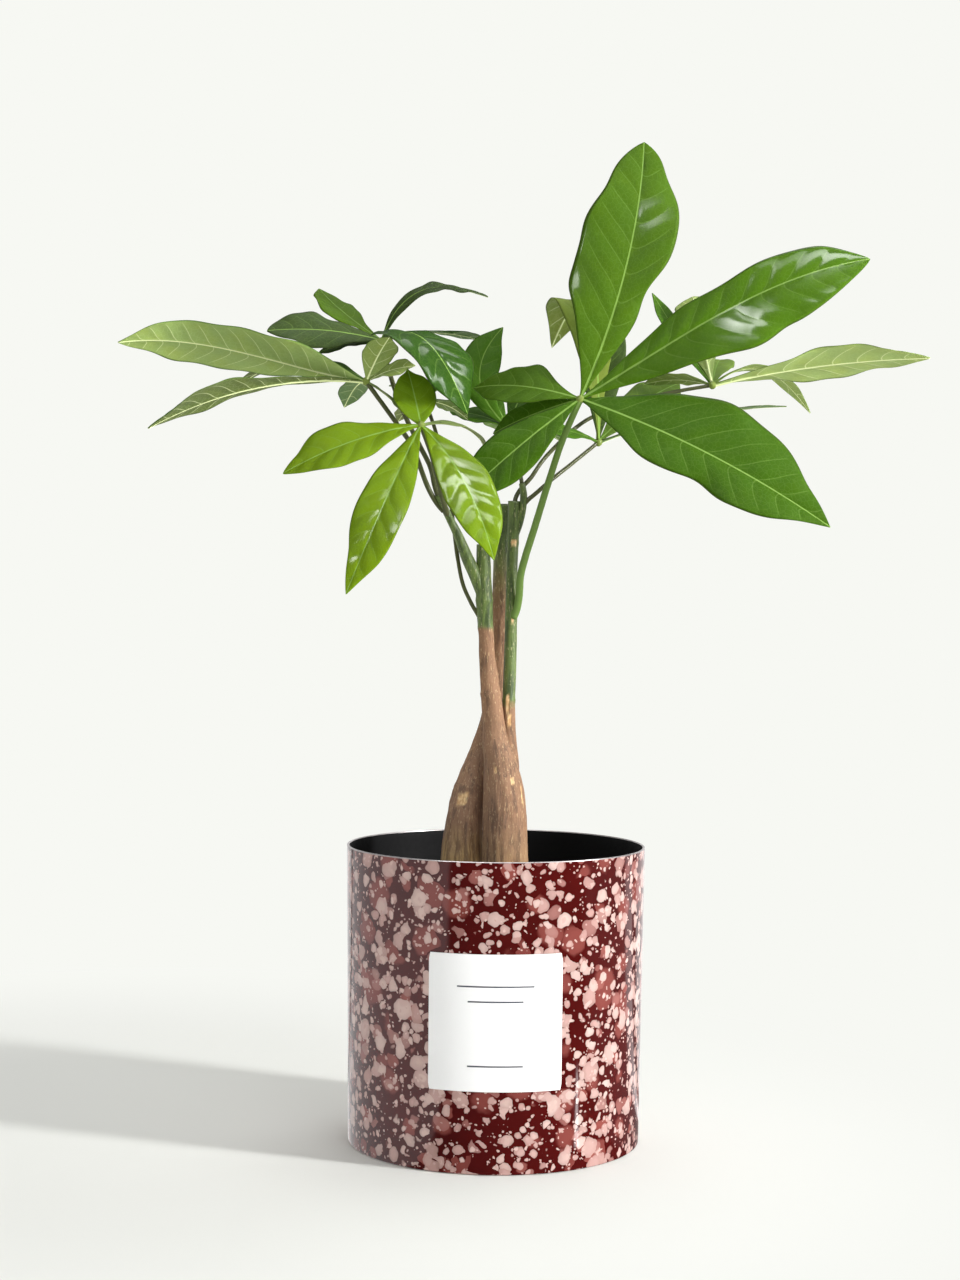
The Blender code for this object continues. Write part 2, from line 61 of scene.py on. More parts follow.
# Fineness: points round a piece, and about one row of them for each of these lengths.
POT_SIDES = 240
TRUNK_SIDES = 72
SHOOT_SIDES = 36
TRUNK_ROW = 1.1
BLADE_ROW = 1.15
BLADE_HALF_COLUMNS = 15
LEAST_BLADE_ROWS = 24
COLUMN_CROWDING = 1.25
PETIOLE_SIDES = 16
PETIOLE_ROW = 1.6

# Stems: (right, back, up, radius) along the middle of each one.
LEFT_TRUNK = (
    (-17.5, 5.0, 88.0, 10.4), (-17.5, 5.0, 112.0, 10.4), (-17.5, 5.0, 136.0, 10.4),
    (-16.6, 5.6, 153.0, 9.6), (-14.1, 7.0, 170.0, 8.7), (-10.3, 9.2, 184.0, 7.6),
    (-6.2, 10.4, 197.0, 6.6), (-2.6, 10.6, 210.0, 6.0), (-0.6, 10.0, 229.0, 5.2),
    (1.0, 9.0, 251.0, 4.7), (1.8, 8.0, 291.0, 4.5), (2.0, 7.5, 320.0, 4.4),
)
FRONT_TRUNK = (
    (4.7, -6.0, 88.0, 11.3), (4.7, -6.0, 112.0, 11.3), (4.6, -6.0, 138.0, 11.4),
    (4.3, -6.0, 160.0, 11.1), (3.4, -6.0, 176.0, 10.1), (1.7, -6.0, 189.0, 8.5),
    (-0.7, -6.2, 200.0, 6.5), (-2.0, -6.4, 212.0, 5.4), (-3.7, -6.6, 226.0, 4.9),
    (-5.4, -7.0, 243.0, 4.1), (-6.3, -7.3, 257.0, 3.8), (-7.2, -8.0, 271.0, 4.2),
    (-7.6, -8.4, 286.0, 3.6), (-8.0, -9.0, 299.0, 3.3),
)
RIGHT_STEM = (
    (5.5, -5.0, 172.0, 3.4), (6.6, -4.2, 186.0, 4.6), (6.2, -3.6, 200.0, 3.6),
    (5.8, -3.2, 218.0, 3.2), (6.1, -2.6, 234.0, 3.3), (6.5, -2.2, 262.0, 3.0),
    (6.8, -2.0, 291.0, 2.8), (7.6, -1.4, 321.0, 3.2),
)
LEFT_SHOOT = (
    (-8.0, -8.6, 274.0, 3.0), (-12.0, -9.4, 284.0, 3.2), (-15.8, -10.8, 292.0, 3.0),
    (-20.4, -13.2, 303.0, 2.3), (-25.0, -15.2, 312.0, 1.9), (-30.6, -17.8, 323.0, 1.7),
)
RIGHT_SHOOT = (
    (7.2, -1.8, 303.0, 2.4), (9.8, -2.0, 310.0, 2.2), (11.6, -2.4, 317.0, 1.9),
    (12.1, -2.8, 324.0, 1.8), (11.2, -3.0, 330.0, 1.6),
)

# Leaf shape, as for the solids: a higher taper draws a blade in more towards both ends. Waves
# and the finer frills run along the margin, turned by the leaflet's number and shifted on its
# right half. Relief is full from the full relief width up, and lower on a narrower blade.
BLADE_THICKNESS = 0.55
BLADE_TAPER = 2.08
STALK_HALF_WIDTH = 0.8
TIP_HALF_WIDTH = 0.12
STALK_THICKENING = 1.0
STALK_FADE = 0.05
GUTTER = 0.20
CURL = 0.16
WAVE_HEIGHT = 0.10
WAVES = 1.6
WAVE_SHIFT = 2.2
WAVE_TURN = 1.7
FRILL_HEIGHT = 0.035
FRILLS = 4.3
FRILL_TURN = 2.1
FRILL_SHIFT = 1.3
LUMP_HEIGHT = 0.25
LUMP_SCALE = 1.7
FULL_RELIEF_WIDTH = 26.0
HUB_RADIUS = 2.1

# Veins: side veins bend up towards the margin, those of the two halves are staggered, and the
# blade is pillowed between them. A groove runs over a vein and a ridge under it, both spread
# over a share of the distance between veins. That distance is full from the full spacing length
# of a blade up, and less on a shorter one.
VEIN_BEND = 0.40
VEIN_STAGGER = 0.25
GROOVE_DEPTH = 0.16
RIB_HEIGHT = 0.75
MIDRIB_HALF_WIDTH = 0.62
VEIN_NOISE = 0.10
VEIN_SPREAD = 0.07
VEIN_SHIFT = 0.37
FULL_SPACING_LENGTH = 120.0
PILLOW_POWER = 0.7
NOISE_CELL = 16.0
NOISE_SHIFT = 3.1

# Colours of a leaflet's upper and lower side.
Tone = namedtuple("Tone", "upper lower")
TONES = {
    "bright": Tone((72, 106, 20), (120, 150, 80)),
    "deep": Tone((59, 94, 12), (112, 142, 78)),
    "sunny": Tone((75, 114, 17), (112, 142, 78)),
    "fresh": Tone((109, 139, 16), (140, 170, 80)),
    "lime": Tone((104, 136, 16), (130, 160, 70)),
    "leafy": Tone((82, 116, 16), (130, 160, 70)),
    "cool": Tone((46, 81, 18), (104, 130, 86)),
    "grey": Tone((62, 81, 40), (106, 134, 88)),
    "grass": Tone((92, 122, 44), (140, 160, 90)),
    "pale": Tone((124, 146, 76), (140, 160, 90)),
    "pale_under": Tone((74, 118, 44), (156, 180, 106)),
    "dim_under": Tone((74, 108, 44), (98, 114, 62)),
    "light_under": Tone((112, 140, 62), (160, 182, 110)),
    "olive": Tone((122, 138, 84), (128, 140, 90)),
    "matte": Tone((112, 130, 56), (132, 150, 74)),
    "middle": Tone((72, 112, 28), (110, 134, 74)),
}
STALK_TONES = {
    "green": (106, 134, 70),
    "dusky": (84, 88, 60),
    "hub": (124, 142, 70),
}

# A leaflet: the reach from the hub to its tip (right, back, up) and its width. Arch and sway bow
# the midrib out of its upper side and to its right by that share of its length, and skew moves
# the top of the bow towards the tip. Roll turns the blade about the midrib in degrees. Lean
# widens its left half, and swing does so near the root and the other way near the tip. The
# blade is widest at that share of its length. Quilt is the height of its pillows and point how
# far its tip is drawn in. Veins are the distance between side veins and how far they lean
# towards the tip. An edge is a swelling or a dip of one half's outline: the half (LEFT or
# RIGHT), its place along the blade, its size as a share of the half's width, and its spread
# along the blade. A waxy spot of the upper side has a place across and along the blade, a
# spread in both ways and a strength.
Leaflet = namedtuple(
    "Leaflet", "reach width tone arch sway skew roll lean swing broadest quilt point veins edges waxy",
    defaults=(0.06, 0.0, 0.0, 0.0, 0.0, 0.0, 0.62, 0.30, 0.30, (13.0, 0.62), (), ()))
LEFT, RIGHT = -1, 1

# A palmate leaf: where its leaflets meet, the way their upper sides face, the petiole's points
# from inside the stem up to the hub, its radius at each end, its colour and the leaflets.
Leaf = namedtuple("Leaf", "hub face petiole radii stalk leaflets")

LEAVES = {
    "leaf_front_right": Leaf(
        hub=(38.5, -34.0, 369.3),
        face=(0.10, -0.90, 0.42),
        petiole=((7.4, -3.4, 262.6), (9.2, -5.2, 267.0), (10.3, -7.2, 274.0), (10.8, -9.2, 283.0),
                 (13.0, -12.6, 292.6), (17.3, -18.0, 307.0), (24.6, -26.6, 332.0), (30.4, -30.8, 350.0)),
        radii=(2.1, 1.7),
        stalk="green",
        leaflets=(
            Leaflet((31.0, 16.0, 128.5), 47.0, "bright", arch=0.05, sway=0.045, lean=0.16, swing=0.14,
                    point=0.0, waxy=((0.30, 0.71, 0.35, 0.05, 0.55), (-0.15, 0.66, 0.18, 0.07, 0.35),
                                     (-0.85, 0.47, 0.12, 0.12, 0.6)),
                    edges=((LEFT, 0.80, -0.17, 0.10), (LEFT, 0.57, -0.05, 0.08), (LEFT, 0.38, 0.10, 0.07),
                           (RIGHT, 0.88, -0.16, 0.07), (RIGHT, 0.43, -0.24, 0.09))),
            Leaflet((137.4, -16.0, 66.8), 39.0, "sunny", arch=0.05, sway=-0.03, skew=0.60, lean=-0.13,
                    quilt=0.35, point=0.1,
                    waxy=((-0.45, 0.90, 0.45, 0.11, 1.0), (0.30, 0.55, 0.30, 0.045, 1.0),
                          (0.55, 0.60, 0.25, 0.05, 0.9), (0.85, 0.76, 0.15, 0.10, 0.9),
                          (-0.60, 0.70, 0.25, 0.06, 0.4)),
                    edges=((LEFT, 0.57, -0.24, 0.13), (LEFT, 0.90, 0.20, 0.07), (RIGHT, 0.56, 0.14, 0.08),
                           (RIGHT, 0.68, -0.05, 0.05))),
            Leaflet((118.6, -24.0, -62.0), 50.0, "deep", arch=0.05, sway=-0.01, lean=0.16, broadest=0.54,
                    point=0.25,
                    edges=((LEFT, 0.86, -0.14, 0.07), (RIGHT, 0.27, 0.17, 0.08), (RIGHT, 0.52, -0.24, 0.09),
                           (RIGHT, 0.76, 0.06, 0.10))),
            Leaflet((-56.5, -6.0, -48.6), 25.0, "deep"),
            Leaflet((-51.8, 24.0, 7.3), 21.0, "bright", arch=0.10, edges=((RIGHT, 0.36, 0.55, 0.14),)),
            Leaflet((-42.0, 27.0, -15.0), 17.0, "deep", arch=0.05),
        ),
    ),
    "leaf_front_left": Leaf(
        hub=(-38.6, -42.0, 355.2),
        face=(0.0, -0.75, 0.65),
        petiole=((-26.0, -16.2, 313.2), (-26.9, -19.0, 316.9), (-27.9, -21.8, 320.0), (-30.0, -27.0, 328.0),
                 (-33.4, -35.0, 341.0)),
        radii=(1.4, 1.2),
        stalk="dusky",
        leaflets=(
            Leaflet((-64.6, -20.0, -25.3), 27.0, "fresh", arch=0.07, quilt=0.40, point=0.35,
                    edges=((RIGHT, 0.86, -0.18, 0.07), (LEFT, 0.84, -0.20, 0.08), (LEFT, 0.60, -0.06, 0.10))),
            Leaflet((-33.5, -32.0, -82.2), 25.0, "fresh", arch=0.09, sway=-0.02, broadest=0.58, quilt=0.40,
                    point=0.30, edges=((RIGHT, 0.82, -0.28, 0.10),),
                    waxy=((0.10, 0.64, 0.10, 0.22, 0.7), (0.45, 0.82, 0.25, 0.05, 0.7),
                          (-0.85, 0.62, 0.15, 0.08, 0.5))),
            Leaflet((35.7, -34.0, -65.6), 25.0, "fresh", arch=0.08, sway=-0.04, broadest=0.58, quilt=0.75,
                    point=0.30, veins=(15.5, 0.50),
                    waxy=((0.15, 0.48, 0.75, 0.24, 1.0), (-0.5, 0.66, 0.4, 0.16, 0.9))),
            Leaflet((-7.8, 24.0, 30.0), 21.0, "lime", arch=0.05, broadest=0.45, point=0.40),
            Leaflet((35.5, 24.0, -16.7), 14.0, "olive", arch=0.20, roll=-33.0),
        ),
    ),
    "leaf_far_left": Leaf(
        hub=(-66.8, -16.0, 378.9),
        face=(0.0, 0.45, 0.89),
        petiole=((-27.6, -16.2, 315.0), (-30.4, -16.6, 318.0), (-33.4, -17.4, 322.4), (-36.6, -18.4, 329.0),
                 (-43.6, -18.4, 346.6), (-52.2, -17.2, 359.2)),
        radii=(1.4, 1.2),
        stalk="dusky",
        leaflets=(
            Leaflet((-118.9, -24.0, 15.1), 39.0, "pale_under", arch=0.045, skew=1.00, lean=0.13,
                    swing=0.40, broadest=0.58, point=0.1, veins=(8.5, 0.22),
                    edges=((LEFT, 0.90, 0.55, 0.08), (RIGHT, 0.87, -0.30, 0.09), (RIGHT, 0.48, 0.38, 0.12))),
            Leaflet((-100.6, -46.0, -28.1), 30.0, "dim_under", arch=0.075, roll=-11.0, lean=0.12,
                    broadest=0.70, point=0.1, veins=(9.0, 0.30),
                    edges=((LEFT, 0.82, 0.62, 0.12), (RIGHT, 0.62, -0.18, 0.10), (LEFT, 0.45, -0.15, 0.12))),
            Leaflet((-68.0, 45.0, 2.3), 28.0, "dim_under", arch=0.14, roll=-27.0,
                    edges=((LEFT, 0.60, -0.50, 0.30),)),
            Leaflet((-13.3, 40.0, -9.2), 14.0, "grey", arch=0.10),
            Leaflet((19.0, -1.0, -16.0), 13.0, "olive", arch=0.06, roll=40.0),
            Leaflet((12.5, -24.0, 19.0), 17.0, "grass"),
            Leaflet((24.0, 9.0, 9.0), 14.0, "pale", arch=0.08),
        ),
    ),
    "leaf_top_left": Leaf(
        hub=(-60.2, 8.0, 401.8),
        face=(0.15, -0.35, 0.92),
        petiole=((-29.6, -17.4, 320.6), (-31.1, -17.6, 324.0), (-32.4, -16.4, 328.0), (-34.6, -13.6, 337.0),
                 (-40.2, -11.0, 348.0), (-48.6, -7.6, 365.0), (-55.6, -1.4, 384.0)),
        radii=(1.4, 1.2),
        stalk="dusky",
        leaflets=(
            Leaflet((43.8, -42.0, -40.3), 38.0, "cool", arch=0.28, sway=0.09, quilt=0.70, point=0.1,
                    veins=(16.0, 0.50), edges=((RIGHT, 0.35, 0.75, 0.17),),
                    waxy=((0.10, 0.72, 0.60, 0.16, 1.0), (0.6, 0.55, 0.3, 0.12, 0.4))),
            Leaflet((53.5, 22.0, 26.1), 28.0, "grey", arch=0.25, skew=-0.22, roll=-10.0,
                    edges=((LEFT, 0.50, -0.35, 0.16), (RIGHT, 0.40, 0.55, 0.10))),
            Leaflet((54.1, 32.0, 3.6), 20.0, "cool", arch=0.08, roll=-20.0),
            Leaflet((-56.1, -22.0, 1.7), 33.0, "grey", arch=0.05, roll=-15.0, quilt=0.12, point=0.0,
                    edges=((RIGHT, 0.75, -0.16, 0.15),)),
            Leaflet((-34.8, 34.0, 31.1), 19.0, "leafy", arch=0.02, sway=-0.08, quilt=0.10,
                    edges=((LEFT, 0.50, 0.25, 0.18),)),
            Leaflet((-32.0, -4.0, -7.0), 16.0, "grey"),
        ),
    ),
    "leaf_centre": Leaf(
        hub=(4.2, 14.0, 359.4),
        face=(-0.10, -0.45, 0.88),
        petiole=((11.5, -3.0, 327.0), (11.0, -2.8, 331.0), (10.3, -1.4, 334.4), (8.6, 2.6, 340.0),
                 (5.8, 9.0, 350.0)),
        radii=(1.1, 1.1),
        stalk="dusky",
        leaflets=(
            Leaflet((-30.0, 16.0, 9.0), 16.0, "middle"),
            Leaflet((-3.0, 6.0, 51.6), 20.0, "middle", sway=-0.25),
            Leaflet((-27.0, 24.0, 40.0), 17.0, "middle"),
            Leaflet((18.1, 38.0, 33.4), 18.0, "deep", arch=0.08),
            Leaflet((-4.2, 50.0, 2.6), 20.0, "deep", arch=0.10),
            Leaflet((27.5, 30.0, -4.3), 17.0, "deep", arch=0.10),
        ),
    ),
    "leaf_back_centre": Leaf(
        hub=(50.5, 20.0, 352.7),
        face=(0.10, -0.55, 0.83),
        petiole=((12.0, -2.7, 319.0), (14.4, -2.6, 321.8), (18.0, -1.8, 324.8), (25.5, 2.0, 331.6),
                 (38.4, 11.0, 342.4)),
        radii=(1.2, 1.0),
        stalk="dusky",
        leaflets=(
            Leaflet((3.6, 26.0, 76.1), 24.0, "grey", arch=0.05),
            Leaflet((-23.0, 38.0, 52.9), 32.0, "matte", arch=0.84, sway=-0.11, skew=0.20),
            Leaflet((100.6, 30.0, 22.2), 18.0, "grey", arch=0.04, roll=-32.0),
            Leaflet((-32.9, -20.0, 5.0), 15.0, "middle"),
            Leaflet((46.0, 52.0, 36.0), 24.0, "grass", arch=0.06),
        ),
    ),
    "leaf_far_right": Leaf(
        hub=(110.2, 35.0, 384.1),
        face=(0.10, 0.30, 0.95),
        petiole=((7.7, -1.2, 317.5), (8.0, -0.4, 322.0), (9.2, 1.0, 325.0), (11.6, 3.0, 328.6),
                 (15.9, 5.6, 333.4), (24.0, 12.0, 345.0), (41.0, 27.0, 362.0), (56.0, 33.0, 370.0),
                 (84.0, 36.0, 379.0)),
        radii=(1.2, 1.0),
        stalk="dusky",
        leaflets=(
            Leaflet((109.9, -15.0, 13.4), 36.0, "light_under", arch=0.03),
            Leaflet((55.6, 29.0, -11.3), 12.0, "light_under", arch=0.26),
            Leaflet((8.0, 34.0, 17.0), 18.0, "light_under", arch=0.08),
            Leaflet((-34.0, 16.0, 2.0), 16.0, "pale", arch=0.08),
            Leaflet((-29.6, 27.0, 51.4), 11.0, "middle", arch=-0.02, roll=-62.0),
            Leaflet((-9.0, 16.0, 48.2), 23.0, "light_under", arch=0.03, roll=85.0, broadest=0.74,
                    point=0.0, edges=((LEFT, 0.94, 0.30, 0.05), (RIGHT, 0.94, 0.30, 0.05))),
        ),
    ),
    "leaf_back_left": Leaf(
        hub=(-38.3, 2.0, 371.9),
        face=(0.0, 0.10, 0.99),
        petiole=((-7.6, -7.8, 259.4), (-11.2, -7.7, 265.4), (-14.4, -7.4, 271.0), (-18.2, -6.4, 280.0),
                 (-20.8, -6.2, 293.0), (-22.2, -6.0, 303.0), (-25.4, -5.4, 326.0), (-31.6, -2.4, 353.0)),
        radii=(1.1, 1.0),
        stalk="dusky",
        leaflets=(
            Leaflet((22.0, 8.0, -9.0), 20.0, "middle", arch=0.10),
            Leaflet((13.4, 26.0, 12.0), 18.0, "middle", arch=0.10),
            Leaflet((-16.0, 26.0, 8.0), 18.0, "middle", arch=0.10),
            Leaflet((-14.0, 14.0, -10.0), 12.0, "olive", arch=0.10),
        ),
    ),
}

# The camera, at the photograph's angle: its place in millimetres, its tilt and its turn about
# the view in radians, and its lens in millimetres.
CAMERA_PLACE = (-9.06, -1064.6, 268.2)
CAMERA_PITCH = 0.0161
CAMERA_ROLL = 0.0101
CAMERA_LENS = 59.43

# Lattice noise: a factor for each coordinate, one for the seed, and the steps that mix them.
NOISE_FACTORS = (73856093, 19349663, 83492791)
SEED_FACTOR = 668265263
MIX_STEPS = ((15, 739982445), (12, 695872825))
LAST_SHIFT = 15
LARGEST = 0xFFFFFFFF

Solid = namedtuple("Solid", "points quads triangles marks")


def display(red, green, blue):
    """The linear colour of a display colour from 0 to 255, by the usual two-part curve."""
    shares = np.array((red, green, blue)) / 255.0
    linear = np.where(shares <= 0.04045, shares / 12.92, ((shares + 0.055) / 1.055) ** 2.4)
    return tuple(float(value) for value in linear)


def unit(vector):
    """The vector at length one."""
    vector = np.asarray(vector, dtype=float)
    return vector / np.linalg.norm(vector)


def units(rows):
    """Each row at length one."""
    return rows / np.linalg.norm(rows, axis=1, keepdims=True)


def bell(places, middle, spread):
    """One at the middle, and less to both sides by the bell curve of that spread."""
    return np.exp(-((places - middle) / spread) ** 2)


def even_angles(count):
    """That many even steps round a circle."""
    return np.arange(count) * FULL_TURN / count


def smooth_step(low, high, values):
    """Zero below low, one above high, and a smooth cubic between."""
    share = np.clip((values - low) / (high - low), 0.0, 1.0)
    return share * share * (3 - 2 * share)


def lattice_noise(places, seed):
    """Noise from -1 to 1: a random number at each whole-number point, blended by a cubic."""
    cell = np.floor(places).astype(np.int64)
    share = places - cell
    share = share * share * (3 - 2 * share)
    total = np.zeros(places.shape[:-1])
    for corner in product((0, 1), repeat=3):
        spot = cell + np.array(corner)
        mixed = np.bitwise_xor.reduce(spot * np.array(NOISE_FACTORS), axis=-1)
        mixed = (mixed ^ (seed * SEED_FACTOR)) & LARGEST
        for shift, factor in MIX_STEPS:
            mixed = ((mixed ^ (mixed >> shift)) * factor) & LARGEST
        value = (mixed ^ (mixed >> LAST_SHIFT)) / LARGEST
        weight = np.prod(np.where(np.array(corner), share, 1 - share), axis=-1)
        total += weight * value
    return 2 * total - 1


def ring_stack(rings, marks=None):
    """A closed solid from a stack of rings, with a point at the middle of each end ring.

    Rings is an array of (row, place round the ring, coordinate). A mark is an array that gives
    a value at each ring point, and its end points take the mean of the ring beside them. Faces
    are turned outwards by the sign of the volume that they close.
    """
    rows, sides = rings.shape[:2]
    points = np.vstack([rings.reshape(-1, 3), rings[0].mean(0), rings[-1].mean(0)])
    row = np.arange(rows - 1)[:, None] * sides
    side = np.arange(sides)
    after = (side + 1) % sides
    quads = np.stack([row + side, row + after, row + sides + after, row + sides + side], -1).reshape(-1, 4)
    first, last = rows * sides, rows * sides + 1
    top = (rows - 1) * sides
    triangles = np.vstack([
        np.stack([np.full(sides, first), after, side], -1),
        np.stack([np.full(sides, last), top + side, top + after], -1),
    ])
    a, b, c, d = (points[quads[:, corner]] for corner in range(4))
    volume = np.einsum("ij,ij->", a, np.cross(b, c)) + np.einsum("ij,ij->", a, np.cross(c, d))
    if volume < 0:
        quads = quads[:, ::-1]
        triangles = triangles[:, ::-1]
    finished = {}
    for name, values in (marks or {}).items():
        flat = values.reshape(rows * sides, -1)
        finished[name] = np.vstack([flat, flat[:sides].mean(0), flat[-sides:].mean(0)])
    return Solid(points, quads, triangles, finished)


def join(solids):
    """Several closed solids as one, with their points and marks in a row."""
    starts = np.cumsum([0] + [len(solid.points) for solid in solids[:-1]])
    points = np.vstack([solid.points for solid in solids])
    quads = np.vstack([solid.quads + start for solid, start in zip(solids, starts)])
    triangles = np.vstack([solid.triangles + start for solid, start in zip(solids, starts)])
    marks = {name: np.vstack([solid.marks[name] for solid in solids]) for name in solids[0].marks}
    return Solid(points, quads, triangles, marks)


def flat_floats(values):
    """The values in a row, as a mesh takes them."""
    return values.astype(np.float32).ravel()


def make_piece(name, solid, material, node):
    """The solid as a smooth-shaded object that rides on the root and replaces its node.

    A mark of three values becomes a vector attribute, and one of four a colour. A mark named
    sheet becomes the UV map.
    """
    mesh = bpy.data.meshes.new(name)
    mesh.vertices.add(len(solid.points))
    mesh.vertices.foreach_set("co", flat_floats(solid.points * MM))
    corners = np.concatenate([solid.quads.ravel(), solid.triangles.ravel()])
    mesh.loops.add(len(corners))
    mesh.loops.foreach_set("vertex_index", corners.astype(np.int32))
    quad_starts = np.arange(len(solid.quads)) * 4
    triangle_starts = len(solid.quads) * 4 + np.arange(len(solid.triangles)) * 3
    mesh.polygons.add(len(quad_starts) + len(triangle_starts))
    starts = np.concatenate([quad_starts, triangle_starts])
    mesh.polygons.foreach_set("loop_start", starts.astype(np.int32))
    mesh.update(calc_edges=True)
    for mark, values in solid.marks.items():
        if mark == "sheet":
            layer = mesh.uv_layers.new(name=mark)
            layer.uv.foreach_set("vector", flat_floats(values[corners]))
        elif values.shape[1] == 4:
            layer = mesh.attributes.new(mark, "FLOAT_COLOR", "POINT")
            layer.data.foreach_set("color", flat_floats(values))
        else:
            layer = mesh.attributes.new(mark, "FLOAT_VECTOR", "POINT")
            layer.data.foreach_set("vector", flat_floats(values))
    mesh.validate()
    mesh.shade_smooth()
    mesh.materials.append(material)
    piece = bpy.data.objects.new(name, mesh)
    bpy.context.scene.collection.objects.link(piece)
    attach(piece, "root")
    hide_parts(node)
    return piece


def rounded_profile(corners, radii, steps=5):
    """The outline through the corners of (radius, height), with each inner corner rounded.

    At a corner of rounding r the outline leaves both edges r before it and follows the parabola
    between them, so an edge is never cut shorter than it is.
    """
    corners = np.asarray(corners, dtype=float)
    outline = [corners[0]]
    for before, corner, after, radius in zip(corners, corners[1:], corners[2:], radii):
        start = corner + unit(before - corner) * radius
        end = corner + unit(after - corner) * radius
        t = np.linspace(0.0, 1.0, steps)[:, None]
        outline.extend((1 - t) ** 2 * start + 2 * t * (1 - t) * corner + t ** 2 * end)
    outline.append(corners[-1])
    return np.array(outline)


def divided(outline, step):
    """The outline with points added so that none of its edges is longer than the step."""
    finished = [outline[:1]]
    for start, end in zip(outline, outline[1:]):
        pieces = max(1, math.ceil(np.linalg.norm(end - start) / step))
        finished.append(start + (end - start) * (np.arange(1, pieces + 1) / pieces)[:, None])
    return np.vstack(finished)


def turned(outline, sides):
    """Rings of the outline of (radius, height) turned about the upright axis."""
    angles = even_angles(sides)
    radius, height = outline[:, 0:1], outline[:, 1:2]
    return np.stack([radius * np.cos(angles), radius * np.sin(angles), height + 0 * angles], -1)


def smooth_path(controls, step):
    """Points about a step apart on a Catmull-Rom curve through the controls, all columns alike."""
    controls = np.asarray(controls, dtype=float)
    padded = np.vstack([2 * controls[0] - controls[1], controls, 2 * controls[-1] - controls[-2]])
    path = [controls[:1]]
    for before, start, end, after in zip(padded, padded[1:], padded[2:], padded[3:]):
        pieces = max(1, round(np.linalg.norm(end[:3] - start[:3]) / step))
        t = (np.arange(1, pieces + 1) / pieces)[:, None]
        path.append(0.5 * (2 * start + (end - before) * t
                           + (2 * before - 5 * start + 4 * end - after) * t ** 2
                           + (3 * start - before - 3 * end + after) * t ** 3))
    return np.vstack(path)


def ring_ways(path, sides):
    """Unit directions square to a path, as an array of (row, side, coordinate).

    Every ring starts from the same fixed direction, which is square to the way that the path
    goes as a whole, less its part along the heading there, so the rings don't twist.
    """
    headings = units(np.gradient(path, axis=0))
    fixed = unit(np.cross(headings.mean(0), (0.3, 1.0, 0.2)))
    starts = units(fixed - (headings @ fixed)[:, None] * headings)
    others = np.cross(headings, starts)
    angles = even_angles(sides)[None, :, None]
    return np.cos(angles) * starts[:, None, :] + np.sin(angles) * others[:, None, :]


def length_setting(name, description, default, **limits):
    """A setting for a length, in metres."""
    return bpy.props.FloatProperty(
        name=name, description=description, default=default, unit="LENGTH", **limits)


def power_setting(name, description, default):
    """A setting for a lamp's power, in watts."""
    return bpy.props.FloatProperty(
        name=name, description=description, default=default, min=0, unit="POWER")


def colour_setting(name, description, red, green, blue):
    """A setting for a colour, whose default is given by its display values."""
    return bpy.props.FloatVectorProperty(
        name=name, description=description, default=display(red, green, blue), min=0, max=1,
        size=3, subtype="COLOR")


class PotSettings(bpy.types.PropertyGroup):
    """Sizes and colours of the cover pot and its label."""

    height: length_setting("Height", "Height of the cover pot", 0.148, min=0.05)
    rim_radius: length_setting("Rim radius", "Outer radius at the rim", 0.075, min=0.02)
    foot_radius: length_setting("Foot radius", "Outer radius at the foot", 0.0732, min=0.02)
    wall: length_setting("Wall", "Thickness of the sheet", 0.0012, min=0.0004)
    ground: colour_setting("Ground", "Lacquer under the splatter", 72, 12, 11)
    splash: colour_setting("Splash", "Palest splashes", 212, 184, 176)
    rose: colour_setting("Rose", "Thin splashes that the ground shows through", 152, 82, 75)
    label_size: length_setting("Label size", "Side of the square label", 0.065, min=0.01)
    label_height: length_setting("Label height", "Height of the label's middle", 0.072)
    label_paper: colour_setting("Paper", "Colour of the label", 250, 250, 250)


class PlantSettings(bpy.types.PropertyGroup):
    """Relief and colours of the bark, the soil and the leaves."""

    bark_relief: length_setting("Bark relief", "Depth of the fissures at the foot", 0.0007, min=0)
    bark: colour_setting("Bark", "Main colour of the bark", 146, 108, 78)
    green_bark: colour_setting("Green bark", "Colour of the young stems", 98, 118, 52)
    soil: colour_setting("Soil", "Colour of the peat", 44, 32, 24)
    soil_relief: length_setting("Soil relief", "Height of the crumbs", 0.0022, min=0)
    vein_share: bpy.props.FloatProperty(
        name="Vein paleness", description="How far the veins are paler than the blade", default=0.5,
        min=0, max=1, subtype="FACTOR")


class StudioSettings(bpy.types.PropertyGroup):
    """Brightness of the studio."""

    backdrop: colour_setting("Backdrop", "Colour of the floor and backdrop", 247, 248, 243)
    key_power: power_setting("Key light", "Power of the lamp on the right", 36.0)
    top_power: power_setting("Top light", "Power of the soft box overhead", 7.0)
    front_power: power_setting("Front light", "Power of the soft box by the camera", 7.0)
    glint_power: power_setting("Glints", "Power of the lamps that only gloss sees", 22.0)
    fill: bpy.props.FloatProperty(
        name="Fill", description="Brightness of the white room", default=0.50, min=0)


